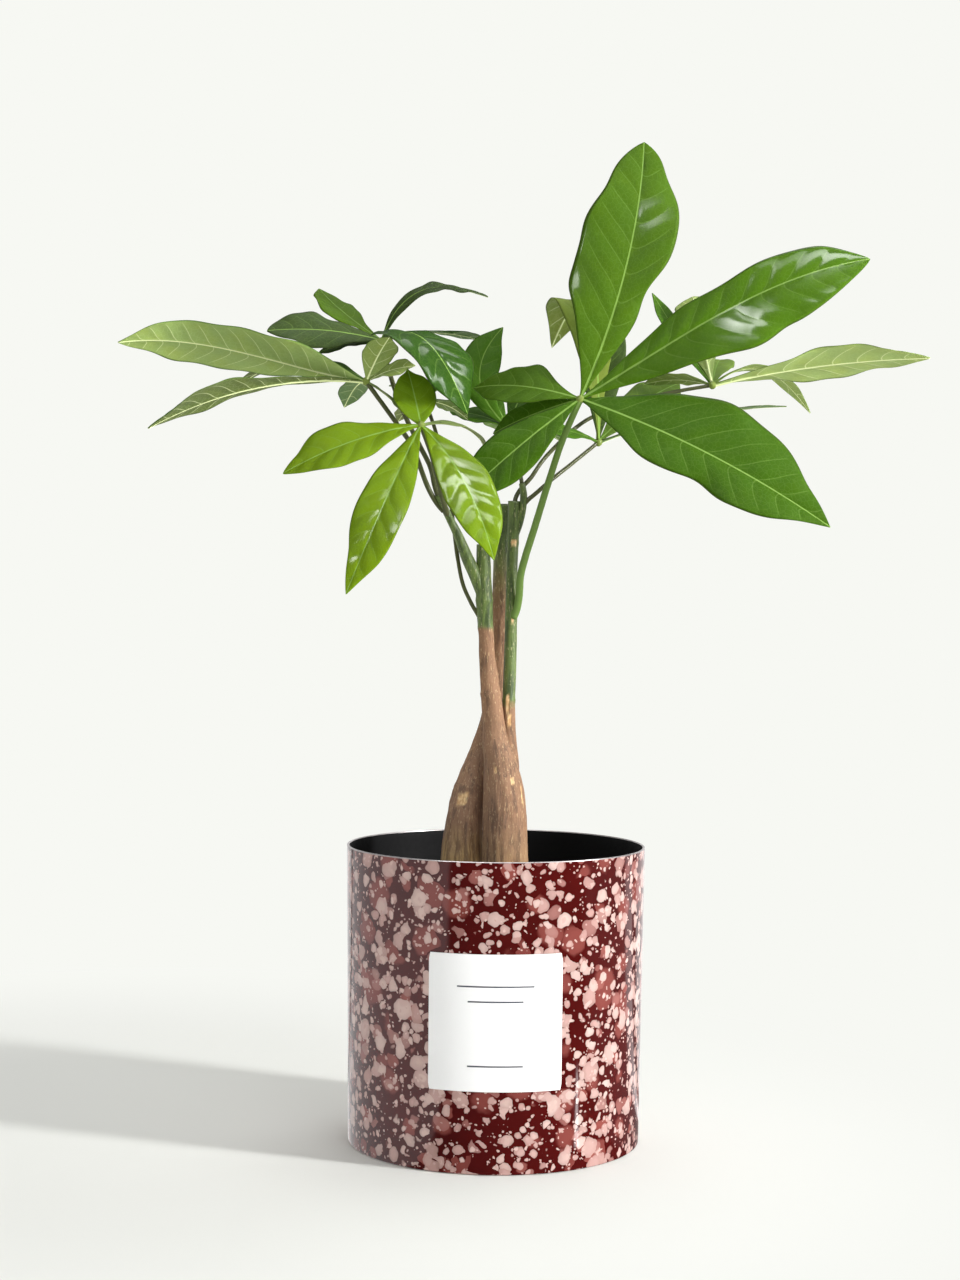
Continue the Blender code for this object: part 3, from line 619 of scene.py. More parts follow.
class NodeSheet:
    """Adds nodes to a node tree and links them, from left to right."""

    def __init__(self, tree):
        self.tree = tree

    def feed(self, socket, value):
        """Links a socket to another, or sets it to a value."""
        if isinstance(value, bpy.types.NodeSocket):
            self.tree.links.new(value, socket)
        else:
            socket.default_value = value

    def add(self, kind, inputs=None, **settings):
        """A node with its settings, and its inputs by name or number, as values or sockets."""
        made = self.tree.nodes.new(kind)
        for setting, value in settings.items():
            setattr(made, setting, value)
        for socket, value in (inputs or {}).items():
            self.feed(made.inputs[socket], value)
        return made

    def finish(self, **values):
        """Feeds the Principled shader's sockets, with underscores for spaces in their names."""
        shader = self.tree.nodes["Principled BSDF"]
        for socket, value in values.items():
            self.feed(shader.inputs[socket.replace("_", " ")], value)

    def maths(self, operation, *values, clamp=False):
        """A Math node's result."""
        return self.add("ShaderNodeMath", dict(enumerate(values)), operation=operation,
                        use_clamp=clamp).outputs[0]

    def vector(self, operation, *values, result="Vector"):
        """A Vector Math node's result."""
        return self.add("ShaderNodeVectorMath", dict(enumerate(values)), operation=operation).outputs[result]

    def parts(self, vector):
        """The three parts of a vector."""
        return self.add("ShaderNodeSeparateXYZ", {0: vector}).outputs

    def channels(self, colour):
        """The red, green and blue of a colour."""
        return self.add("ShaderNodeSeparateColor", {0: colour}).outputs

    def step(self, value, low, high, start=0.0, end=1.0):
        """A smooth step of the value, from start at low to end at high."""
        inputs = {"Value": value, "From Min": low, "From Max": high, "To Min": start, "To Max": end}
        return self.add("ShaderNodeMapRange", inputs, interpolation_type="SMOOTHSTEP").outputs[0]

    def fall(self, value, low, high):
        """A smooth step down, from one at low to nought at high."""
        return self.step(value, low, high, 1.0, 0.0)

    def between(self, value, start, end, soft_start, soft_end):
        """One between start and end and nought beside them, with a smooth step at both."""
        risen = self.step(value, start - soft_start, start + soft_start)
        return self.maths("MULTIPLY", risen, self.fall(value, end - soft_end, end + soft_end))

    def mix(self, share, first, second, blend="MIX"):
        """A Mix node of colours."""
        return self.add("ShaderNodeMix", {0: share, 6: first, 7: second}, data_type="RGBA",
                        blend_type=blend).outputs[2]

    def noise(self, vector, scale, detail=3.0, roughness=0.55):
        """The value of a noise texture."""
        inputs = {"Vector": vector, "Scale": scale, "Detail": detail, "Roughness": roughness}
        return self.add("ShaderNodeTexNoise", inputs).outputs[0]

    def stretched(self, vector, scale):
        """The vector times the scale along each axis."""
        return self.add("ShaderNodeMapping", {"Vector": vector, "Scale": scale}).outputs[0]

    def bump(self, height, distance, strength):
        """The normal of a bumpy surface, from its height."""
        given = {"Height": height, "Distance": distance, "Strength": strength}
        return self.add("ShaderNodeBump", given).outputs[0]

    def glow(self, kind, colour, strength=1.0):
        """An even glow: the Emission of a surface or the Background of a world."""
        return self.add("ShaderNode" + kind, {"Color": colour, "Strength": strength}).outputs[0]

    def mix_shader(self, share, first, second):
        """A Mix Shader's result."""
        return self.add("ShaderNodeMixShader", {0: share, 1: first, 2: second}).outputs[0]


def colour4(colour):
    """A colour with its alpha."""
    return (*colour, 1.0)


def painted(red, green, blue):
    """A display colour as a linear one with its alpha."""
    return colour4(display(red, green, blue))


def object_vector(sheet):
    """The place on the piece, in metres."""
    return sheet.add("ShaderNodeTexCoord").outputs["Object"]


def new_material(name, **constants):
    """A Principled material with its constant sockets set, its sheet and the place on the piece."""
    material = bpy.data.materials.new(name)
    material.use_nodes = True
    sheet = NodeSheet(material.node_tree)
    sheet.finish(**constants)
    return material, sheet, object_vector(sheet)


def new_group(name, inputs, outputs):
    """An empty shader node group, with its sheet, what it is given and what it results in.

    Inputs and outputs are socket names with their kinds: Color, Vector or Float.
    """
    group = bpy.data.node_groups.new(name, "ShaderNodeTree")
    for way, sockets in (("INPUT", inputs), ("OUTPUT", outputs)):
        for socket, kind in sockets.items():
            group.interface.new_socket(socket, in_out=way, socket_type="NodeSocket" + kind)
    sheet = NodeSheet(group)
    return group, sheet, sheet.add("NodeGroupInput").outputs, sheet.add("NodeGroupOutput").inputs


def mottle_group():
    """Varies a colour with broad clouds and fine grain: value up and down by two noises."""
    if "mottle" in bpy.data.node_groups:
        return bpy.data.node_groups["mottle"]
    group, sheet, given, result = new_group(
        "mottle",
        {"Color": "Color", "Vector": "Vector", "Broad": "Float", "Fine": "Float", "Amount": "Float"},
        {"Color": "Color", "Grain": "Float"})
    broad = sheet.noise(given["Vector"], given["Broad"])
    fine = sheet.noise(given["Vector"], given["Fine"], 5.0)
    both = sheet.maths("ADD", sheet.maths("MULTIPLY", broad, 1.2), sheet.maths("MULTIPLY", fine, 0.8))
    swing = sheet.maths("MULTIPLY", sheet.maths("SUBTRACT", both, 1.0), given["Amount"])
    value = sheet.maths("ADD", swing, 1.0)
    changed = sheet.add("ShaderNodeHueSaturation", {"Value": value, "Color": given["Color"]})
    sheet.feed(result["Color"], changed.outputs[0])
    sheet.feed(result["Grain"], fine)
    return group


def mottled(sheet, colour, vector, broad, fine, amount):
    """Places the mottle group and returns its colour and grain."""
    given = {"Color": colour, "Vector": vector, "Broad": broad, "Fine": fine, "Amount": amount}
    made = sheet.add("ShaderNodeGroup", given, node_tree=mottle_group())
    return made.outputs["Color"], made.outputs["Grain"]


def splash_group():
    """One layer of drops: round cells of random size, some left out, with a soft edge."""
    group, sheet, given, result = new_group(
        "splash",
        {"Vector": "Vector", "Cells": "Float", "Reach": "Float", "Share": "Float", "Edge": "Float"},
        {"Mask": "Float", "Shade": "Float", "Middle": "Float"})
    cells = sheet.add("ShaderNodeTexVoronoi", {"Vector": given["Vector"], "Scale": given["Cells"]}).outputs
    chance = sheet.channels(cells["Color"])
    size = sheet.maths("MULTIPLY", given["Reach"], sheet.maths("MULTIPLY_ADD", chance[0], 0.8, 0.45))
    inner = sheet.maths("SUBTRACT", size, given["Edge"])
    mask = sheet.fall(cells["Distance"], inner, size)
    kept = sheet.maths("LESS_THAN", chance[1], given["Share"])
    sheet.feed(result["Mask"], sheet.maths("MULTIPLY", mask, kept))
    sheet.feed(result["Shade"], chance[2])
    sheet.feed(result["Middle"], sheet.fall(cells["Distance"], 0.0, size))
    return group


# Layers of splatter, in the order that they are laid on: cells per metre, the reach of a drop as
# a share of a cell, the share of drops kept, the width of their soft edge, how well they cover
# and how rosy they are.
SplashLayer = namedtuple("SplashLayer", "cells reach share edge strength rose")
SPLASHES = (
    SplashLayer(70.0, 0.60, 0.50, 0.16, 0.62, 1.2),
    SplashLayer(130.0, 0.52, 0.42, 0.08, 0.78, 0.75),
    SplashLayer(112.0, 0.50, 0.54, 0.045, 0.97, 0.16),
    SplashLayer(190.0, 0.52, 0.48, 0.05, 0.97, 0.16),
    SplashLayer(330.0, 0.46, 0.34, 0.07, 0.97, 0.12),
    SplashLayer(640.0, 0.44, 0.20, 0.10, 0.95, 0.12),
)

# Each layer is shifted by that much more than the last, in metres, and its drops are pushed out
# of round by noise. Drops run from the splash colour to the rose one by chance.
SPLASH_SHIFT = 0.37
SPLASH_WARP = 0.0048
SPLASH_WARP_CELLS = 150.0
ROSE_SWING = 0.5
ROSE_START = 0.2


def lacquer_material(settings):
    """High-gloss lacquer with layers of splatter over a dark ground."""
    material, sheet, place = new_material("splatter lacquer", Roughness=0.08, IOR=1.5)
    warp = sheet.add("ShaderNodeTexNoise", {"Vector": place, "Scale": SPLASH_WARP_CELLS, "Detail": 2.0})
    centred = sheet.vector("SUBTRACT", warp.outputs["Color"], (0.5, 0.5, 0.5))
    pushed = sheet.add("ShaderNodeVectorMath", {0: centred, "Scale": SPLASH_WARP}, operation="SCALE")
    bent = sheet.vector("ADD", place, pushed.outputs[0])
    colour, _ = mottled(sheet, colour4(settings.ground), place, broad=30.0, fine=180.0, amount=0.5)
    group = splash_group()
    for number, layer in enumerate(SPLASHES):
        shift = SPLASH_SHIFT * number
        given = {"Vector": sheet.vector("ADD", bent, (shift, 2 * shift, 3 * shift)), "Cells": layer.cells,
                 "Reach": layer.reach, "Share": layer.share, "Edge": layer.edge}
        drops = sheet.add("ShaderNodeGroup", given, node_tree=group).outputs
        rosy = sheet.maths("MULTIPLY_ADD", drops["Shade"], ROSE_SWING, layer.rose - ROSE_START, clamp=True)
        paint = sheet.mix(rosy, colour4(settings.splash), colour4(settings.rose))
        edged = sheet.maths("MULTIPLY_ADD", drops["Middle"], 0.35, 0.80, clamp=True)
        covering = sheet.maths("MULTIPLY", sheet.maths("MULTIPLY", drops["Mask"], layer.strength), edged)
        colour = sheet.mix(covering, colour, paint)
    ripple = sheet.noise(place, 14.0, 1.0)
    sheet.finish(Base_Color=colour, Normal=sheet.bump(ripple, 0.0004, 0.15))
    return material


def plastic_material(name, colour, roughness, shine, broad, fine, bump_height):
    """Dark moulded plastic or enamel with faint scuffs in its colour and gloss."""
    material, sheet, place = new_material(name, Specular_IOR_Level=shine)
    changed, grain = mottled(sheet, colour4(colour), place, broad, fine, amount=0.6)
    gloss = sheet.step(grain, 0.2, 0.8, roughness - 0.08, roughness + 0.10)
    sheet.finish(Base_Color=changed, Roughness=gloss, Normal=sheet.bump(grain, bump_height, 0.4))
    return material


def rim_material():
    """The bare rolled edge of the cover pot: pale worn metal."""
    material, sheet, place = new_material("rim metal", Metallic=0.7)
    colour, grain = mottled(sheet, painted(176, 170, 170), place, broad=60.0, fine=900.0, amount=0.5)
    sheet.finish(Base_Color=colour, Roughness=sheet.step(grain, 0.2, 0.8, 0.25, 0.42))
    return material


class MONEYTREE_OT_pot(bpy.types.Operator):
    """Builds the cover pot: a thin lacquered sheet with a bare rolled rim and a black inside"""

    bl_idname = "moneytree.pot"
    bl_label = "Cover pot"

    WALL_ROW = 3.0
    EDGE = 0.45
    INSIDE_EDGE = 1.2
    FLOOR = 1.5
    FOOT_RECESS = 0.6

    def execute(self, context):
        settings = context.scene.money_tree_pot
        height = settings.height / MM
        rim = settings.rim_radius / MM
        foot = settings.foot_radius / MM
        wall = settings.wall / MM
        corners = (
            (0.2, self.FOOT_RECESS), (foot - 5.0, self.FOOT_RECESS), (foot - 4.0, 0.0), (foot, 0.0),
            (rim, height), (rim - wall, height), (foot - wall, self.FLOOR), (0.2, self.FLOOR),
        )
        radii = (0.4, 0.4, self.EDGE, self.EDGE, self.EDGE, self.INSIDE_EDGE)
        outline = divided(rounded_profile(corners, radii), self.WALL_ROW)
        solid = ring_stack(turned(outline, POT_SIDES))
        piece = make_piece("cover_pot", solid, lacquer_material(settings), "pot")
        inside = plastic_material("black inside", display(8, 8, 9), 0.60, 0.12, 20.0, 400.0, 0.00005)
        piece.data.materials.append(inside)
        piece.data.materials.append(rim_material())
        self.paint(piece.data, height)
        return {"FINISHED"}

    def paint(self, mesh, height):
        """Gives the inside and the top edge their own materials, by place and facing."""
        count = len(mesh.polygons)
        centres = np.empty(count * 3, dtype=np.float32)
        normals = np.empty(count * 3, dtype=np.float32)
        mesh.polygons.foreach_get("center", centres)
        mesh.polygons.foreach_get("normal", normals)
        centres = centres.reshape(-1, 3) / MM
        normals = normals.reshape(-1, 3)
        outward = np.einsum("ij,ij->i", centres[:, :2], normals[:, :2])
        inside = (outward < 0) | ((normals[:, 2] > 0.5) & (centres[:, 2] < height / 2))
        edge = centres[:, 2] > height - self.EDGE * 0.9
        numbers = np.where(edge, 2, np.where(inside, 1, 0))
        mesh.polygons.foreach_set("material_index", numbers.astype(np.int32))
        mesh.update()


class MONEYTREE_OT_label(bpy.types.Operator):
    """Builds the label: a thin paper square bent round the pot's front, with plain ruled lines"""

    bl_idname = "moneytree.label"
    bl_label = "Label"

    THICKNESS = 0.35
    CORNER = 0.6
    COLUMNS = 60
    ROWS = 24
    SQUARENESS = 24

    # Ruled lines: height over the label's middle and half length, as shares of its side.
    LINES = ((0.265, 0.28), (0.155, 0.20), (-0.315, 0.20))
    LINE_HALF_WIDTH = 0.0045
    INK = (70, 72, 80)

    def execute(self, context):
        """Rings go round the sheet's cross-section at each height.

        Its half width is cut back at the corners by a high power of the height, and it is bent
        by taking the place across as an arc of the pot's radius there.
        """
        settings = context.scene.money_tree_pot
        side = settings.label_size / MM
        middle = settings.label_height / MM
        foot = settings.foot_radius / MM
        rim = settings.rim_radius / MM
        height = settings.height / MM
        across = np.linspace(-1.0, 1.0, self.COLUMNS)
        up = np.linspace(-1.0, 1.0, self.ROWS)[:, None]
        reach = side / 2 - self.CORNER * (1 - np.sqrt(np.clip(1 - np.abs(up) ** self.SQUARENESS, 0, 1)))
        z = middle + up * side / 2
        radius = foot + (rim - foot) * z / height + TOUCH_GAP
        turn = across * reach / radius
        rings = []
        for lift, order in ((self.THICKNESS, 1), (0.0, -1)):
            away = radius + lift
            layer = np.stack([away * np.sin(turn), -away * np.cos(turn), z + 0 * turn], -1)
            rings.append(layer[:, ::order])
        sheet_places = np.stack([across + 0 * up, up + 0 * across], -1)
        marks = {"sheet": np.concatenate([sheet_places, sheet_places[:, ::-1]], 1)}
        solid = ring_stack(np.concatenate(rings, 1), marks)
        piece = make_piece("paper_label", solid, self.material(settings), "label")
        piece.data.set_sharp_from_angle(angle=math.radians(40))
        return {"FINISHED"}

    def material(self, settings):
        """Smooth white paper with faint fibres and the ruled lines."""
        material, sheet, place = new_material("label paper", Roughness=0.5)
        paper = colour4(settings.label_paper)
        colour, grain = mottled(sheet, paper, place, broad=40.0, fine=2500.0, amount=0.03)
        across, up, _ = sheet.parts(sheet.add("ShaderNodeUVMap", uv_map="sheet").outputs[0])
        away = sheet.maths("ABSOLUTE", across)
        ink = 0.0
        for height, half_length in self.LINES:
            off = sheet.maths("ABSOLUTE", sheet.maths("SUBTRACT", up, 2 * height))
            beside = sheet.fall(off, self.LINE_HALF_WIDTH * 2, self.LINE_HALF_WIDTH * 3)
            within = sheet.fall(away, 2 * half_length, 2 * half_length + 0.01)
            ink = sheet.maths("MAXIMUM", ink, sheet.maths("MULTIPLY", beside, within))
        colour = sheet.mix(ink, colour, painted(*self.INK))
        sheet.finish(Base_Color=colour, Normal=sheet.bump(grain, 0.00003, 0.3))
        return material


class MONEYTREE_OT_nursery_pot(bpy.types.Operator):
    """Builds the black nursery pot: a thin tapered cup with a turned-out lip"""

    bl_idname = "moneytree.nursery_pot"
    bl_label = "Nursery pot"

    FOOT = 1.8
    HEIGHT = 126.0
    TOP_RADIUS = 66.0
    FOOT_RADIUS = 48.0
    WALL = 1.0
    LIP_WIDTH = 2.5
    LIP_DROP = 8.0
    LIP_SHEET = 0.9
    SIDES = 144
    ROW = 4.0

    def execute(self, context):
        """The outline runs up the outside, round the hanging lip and down the inside."""
        top = self.FOOT + self.HEIGHT
        slope = (self.TOP_RADIUS - self.FOOT_RADIUS) / self.HEIGHT
        lip = self.TOP_RADIUS + self.LIP_WIDTH
        drop = top - self.LIP_DROP
        under = self.TOP_RADIUS - slope * self.LIP_SHEET
        corners = (
            (0.2, self.FOOT), (self.FOOT_RADIUS, self.FOOT), (under, top - self.LIP_SHEET),
            (lip - self.LIP_SHEET, top - self.LIP_SHEET), (lip - self.LIP_SHEET, drop), (lip, drop),
            (lip, top), (self.TOP_RADIUS - self.WALL, top),
            (self.FOOT_RADIUS - self.WALL, self.FOOT + self.WALL), (0.2, self.FOOT + self.WALL),
        )
        radii = (2.0, 0.3, 0.3, 0.25, 0.25, 0.7, 0.5, 1.0)
        outline = divided(rounded_profile(corners, radii), self.ROW)
        solid = ring_stack(turned(outline, self.SIDES))
        plastic = plastic_material("nursery plastic", display(30, 30, 31), 0.42, 0.50, 40.0, 900.0, 0.0001)
        make_piece("nursery_pot_black", solid, plastic, "nursery_pot")
        return {"FINISHED"}


class MONEYTREE_OT_soil(bpy.types.Operator):
    """Builds the peat: a filled cup with a crumbly, slightly heaped top"""

    bl_idname = "moneytree.soil"
    bl_label = "Soil"

    BOTTOM = 3.1
    BOTTOM_RADIUS = 46.7
    EDGE_HEIGHT = 124.0
    EDGE_RADIUS = 64.1
    HEAP = 10.0
    RINGS = 110
    SIDES = 260
    WALL_ROW = 6.0

    # Crumbs: strength, size in millimetres and seed of each noise.
    CRUMBS = ((0.55, 7.0, 3), (0.35, 2.8, 4), (0.22, 1.2, 5))
    CRUMB_MIDDLE = 0.4
    SETTLED = 0.3
    WALL_SHARE = 0.06

    def execute(self, context):
        """Height is a half cosine heap plus three sizes of noise that fade to none at the wall."""
        settings = context.scene.money_tree_plant
        relief = settings.soil_relief / MM
        share = np.linspace(0.0, 0.997, self.RINGS)[:, None]
        angles = even_angles(self.SIDES)
        radius = self.EDGE_RADIUS * (1 - share)
        x = radius * np.cos(angles)
        y = radius * np.sin(angles)
        heap = self.HEAP * (0.5 - 0.5 * np.cos(math.pi * share))
        flat = np.stack([x, y, 0 * x], -1)
        crumbs = sum(strength * lattice_noise(flat / size, seed) for strength, size, seed in self.CRUMBS)
        inward = smooth_step(0.0, self.WALL_SHARE, share)
        z = self.EDGE_HEIGHT + heap + relief * (crumbs - self.CRUMB_MIDDLE) * inward - self.SETTLED * inward
        top = np.stack([x, y, z], -1)
        wall = divided(np.array([(self.BOTTOM_RADIUS, self.BOTTOM), (self.EDGE_RADIUS, self.EDGE_HEIGHT)]),
                       self.WALL_ROW)
        base = np.array([(0.2, self.BOTTOM), (self.BOTTOM_RADIUS - 1.0, self.BOTTOM)])
        rings = np.concatenate([turned(base, self.SIDES), turned(wall[:-1], self.SIDES), top])
        make_piece("peat_soil", ring_stack(rings), self.material(settings), "soil")
        return {"FINISHED"}

    def material(self, settings):
        """Dark peat with browner fibres and a few pale grains."""
        material, sheet, place = new_material("peat", Roughness=0.95)
        colour, grain = mottled(sheet, colour4(settings.soil), place, broad=160.0, fine=1400.0, amount=1.3)
        fibre = sheet.noise(sheet.stretched(place, (1.0, 2.6, 1.0)), 500.0, 4.0)
        colour = sheet.mix(sheet.step(fibre, 0.58, 0.70, 0.0, 0.6), colour, painted(96, 70, 48))
        cells = sheet.add("ShaderNodeTexVoronoi", {"Vector": place, "Scale": 320.0}).outputs
        kept = sheet.maths("GREATER_THAN", sheet.channels(cells["Color"])[0], 0.94)
        grains = sheet.maths("MULTIPLY", kept, sheet.fall(cells["Distance"], 0.26, 0.34))
        colour = sheet.mix(grains, colour, painted(190, 184, 172))
        sheet.finish(Base_Color=colour, Normal=sheet.bump(grain, 0.0008, 0.9))
        return material


# A stem's finish: the height where its bark turns green and half the height of that change, how
# rough its bark is, how yellow its foot is, its rings (height, swelling) and its scars, each a
# place by height and by turn in degrees from the front to the right, with a half height and a
# half width.
StemLook = namedtuple("StemLook", "green_from green_soft rough foot rings scars", defaults=((), ()))
STEM_LOOKS = {
    "left": StemLook(282.0, 20.0, 1.0, 1.0, ((177.0, 0.35), (228.0, 0.25)), ((170.5, -22.0, 3.6, 3.0),)),
    "front": StemLook(257.0, 1.6, 1.0, 0.35, ((224.0, 0.40), (257.0, 0.25), (271.0, 0.30)),
                      ((186.5, -18.0, 2.2, 0.8), (181.0, 30.0, 2.0, 0.6), (173.0, 62.0, 5.0, 0.9))),
    "right": StemLook(219.0, 3.0, 0.5, 0.0, ((221.0, 0.25), (262.0, 0.15), (300.0, 0.2)),
                      ((219.0, -12.0, 5.0, 0.9), (211.0, 4.0, 3.0, 1.1), (262.0, 14.0, 2.4, 0.6),
                       (300.0, 10.0, 1.6, 1.6))),
    "shoot": StemLook(200.0, 2.0, 0.2, 0.0),
}


class MONEYTREE_OT_trunks(bpy.types.Operator):
    """Builds the two saplings with their bark, rings, scars and cut tops"""

    bl_idname = "moneytree.trunks"
    bl_label = "Saplings"

    CUT_ROWS = 5
    RING_SPREAD = 1.3
    SCAR_DEPTH = 0.25
    LUMPS = 0.25
    SAW_DIP = 0.35

    # Heights between which the bark grows smooth and the yellow of the foot fades.
    ROUGH_FOOT = (150.0, 215.0)
    YELLOW_FOOT = (138.0, 164.0)

    # Fissures: strength, size in millimetres along each axis and step of the seed.
    FISSURES = ((0.7, (2.3, 2.3, 13.0), 0), (0.45, (1.0, 1.0, 6.0), 10))

    def execute(self, context):
        settings = context.scene.money_tree_plant
        bark = self.material(settings)
        left = self.stem(LEFT_TRUNK, "left", TRUNK_SIDES, settings, 1)
        make_piece("sapling_left", left, bark, "trunk_left")
        front = join([
            self.stem(FRONT_TRUNK, "front", TRUNK_SIDES, settings, 2),
            self.stem(RIGHT_STEM, "right", TRUNK_SIDES, settings, 3),
            self.stem(LEFT_SHOOT, "shoot", SHOOT_SIDES, settings, 4),
            self.stem(RIGHT_SHOOT, "shoot", SHOOT_SIDES, settings, 5),
        ])
        make_piece("sapling_front", front, bark, "trunk_front")
        return {"FINISHED"}

    def stem(self, controls, look_name, sides, settings, seed):
        """A stem: rings along its path, with upright fissures, swollen rings and dished scars.

        The radius is the table's radius plus long narrow noise that is deepest at the foot, plus
        a bell-shaped swelling at each ring, less a shallow dish at each scar. The top is a flat
        saw cut: the last rings shrink to the middle and dip a little.
        """
        look = STEM_LOOKS[look_name]
        path = smooth_path(controls, TRUNK_ROW)
        centres, radii = path[:, :3], path[:, 3]
        ways = ring_ways(centres, sides)
        surface = centres[:, None, :] + radii[:, None, None] * ways
        height = surface[..., 2]
        fissures = sum(strength * lattice_noise(surface / size, seed + step)
                       for strength, size, step in self.FISSURES)
        foot = 1 - smooth_step(*self.ROUGH_FOOT, height)
        relief = settings.bark_relief / MM * look.rough * (0.25 + 0.75 * foot)
        swelling = sum((size * bell(height, at, self.RING_SPREAD) for at, size in look.rings), 0 * height)
        scar = self.scars(look, surface, radii, ways, seed)
        lumps = self.LUMPS * lattice_noise(surface / 9.0, seed + 30)
        push = relief * fissures + swelling + lumps * look.rough - self.SCAR_DEPTH * scar
        surface = surface + push[..., None] * ways
        zones = self.zones(look, surface, height, scar, seed)
        top_rings, top_zones = self.cut(surface[-1], zones[-1])
        rings = np.concatenate([surface, top_rings])
        return ring_stack(rings, {"zones": np.concatenate([zones, top_zones])})

    def scars(self, look, surface, radii, ways, seed):
        """One on each scar, an upright oblong with a ragged edge, and nought round it."""
        height = surface[..., 2]
        turn = np.degrees(np.arctan2(ways[..., 0], -ways[..., 1]))
        ragged = 0.25 * lattice_noise(surface / 1.4, seed + 20)
        scar = 0 * height
        for at, degrees, tall, wide in look.scars:
            across = np.radians(turn - degrees) * radii[:, None] / wide
            along = (height - at) / tall
            far = np.maximum(np.abs(across), np.abs(along)) + ragged
            scar = np.maximum(scar, 1 - smooth_step(0.75, 1.0, far))
        return scar

    def zones(self, look, surface, height, scar, seed):
        """The shares of green, scar and yellow foot, whose borders lie at a height plus noise."""
        green = smooth_step(look.green_from - look.green_soft, look.green_from + look.green_soft,
                            height + 1.6 * lattice_noise(surface / 2.0, seed + 40))
        ragged = height + 5.0 * lattice_noise(surface / 5.0, seed + 50)
        yellow = 1 - smooth_step(*self.YELLOW_FOOT, ragged)
        return np.stack([green, scar, yellow * look.foot, 1 + 0 * green], -1)

    def cut(self, rim, zones):
        """The sawn end: rings that shrink from the rim to the middle and dip by a parabola."""
        centre = rim.mean(0)
        share = np.linspace(0.97, 0.12, self.CUT_ROWS)[:, None, None]
        rings = centre + (rim - centre) * share
        rings[..., 2] -= self.SAW_DIP * (1 - share[..., 0] ** 2)
        return rings, np.zeros((self.CUT_ROWS,) + zones.shape)

    def material(self, settings):
        """Brown fissured bark, green bark above, tan scars, a yellow-green foot and dark cut ends.

        The zones attribute holds the shares of green, scar and foot, and its alpha is nought on
        a cut end.
        """
        material, sheet, place = new_material("sapling bark")
        zones = sheet.add("ShaderNodeAttribute", attribute_name="zones").outputs
        green_share, scar_share, foot_share = sheet.channels(zones["Color"])
        long_streaks = sheet.noise(sheet.stretched(place, (1.0, 1.0, 0.16)), 480.0, 5.0, 0.6)
        fine_streaks = sheet.noise(sheet.stretched(place, (1.0, 1.0, 0.22)), 1500.0, 4.0, 0.6)
        brown, grain = mottled(sheet, colour4(settings.bark), place, broad=70.0, fine=900.0, amount=0.55)
        brown = sheet.mix(sheet.step(long_streaks, 0.36, 0.50, 0.6, 0.0), brown, painted(84, 58, 40))
        brown = sheet.mix(sheet.step(fine_streaks, 0.57, 0.66, 0.0, 0.7), brown, painted(204, 172, 128))
        yellow = sheet.step(long_streaks, 0.40, 0.62)
        yellow = sheet.mix(yellow, painted(146, 114, 66), painted(212, 176, 112))
        brown = sheet.mix(sheet.maths("MULTIPLY", foot_share, 0.70), brown, yellow)
        green, _ = mottled(sheet, colour4(settings.green_bark), place, broad=90.0, fine=1200.0, amount=0.5)
        green = sheet.mix(sheet.step(long_streaks, 0.38, 0.58, 0.7, 0.0), green, painted(44, 62, 26))
        green = sheet.mix(sheet.step(fine_streaks, 0.60, 0.66, 0.0, 0.8), green, painted(184, 180, 128))
        tan = sheet.mix(sheet.step(fine_streaks, 0.4, 0.6), painted(206, 158, 104), painted(240, 206, 152))
        colour = sheet.mix(scar_share, sheet.mix(green_share, brown, green), tan)
        cut = sheet.mix(grain, painted(52, 40, 32), painted(86, 70, 54))
        colour = sheet.mix(zones["Alpha"], cut, colour)
        height = sheet.maths("ADD", long_streaks, sheet.maths("MULTIPLY", fine_streaks, 0.5))
        sheet.finish(Base_Color=colour, Roughness=sheet.step(green_share, 0.0, 1.0, 0.78, 0.48),
                     Normal=sheet.bump(height, 0.0009, 0.55))
        return material


def blade_frame(reach, face, roll):
    """Unit directions along a blade and out of its upper side."""
    along = unit(reach)
    up_side = unit(np.asarray(face) - np.dot(face, along) * along)
    turn = math.radians(roll)
    return along, math.cos(turn) * up_side + math.sin(turn) * np.cross(along, up_side)


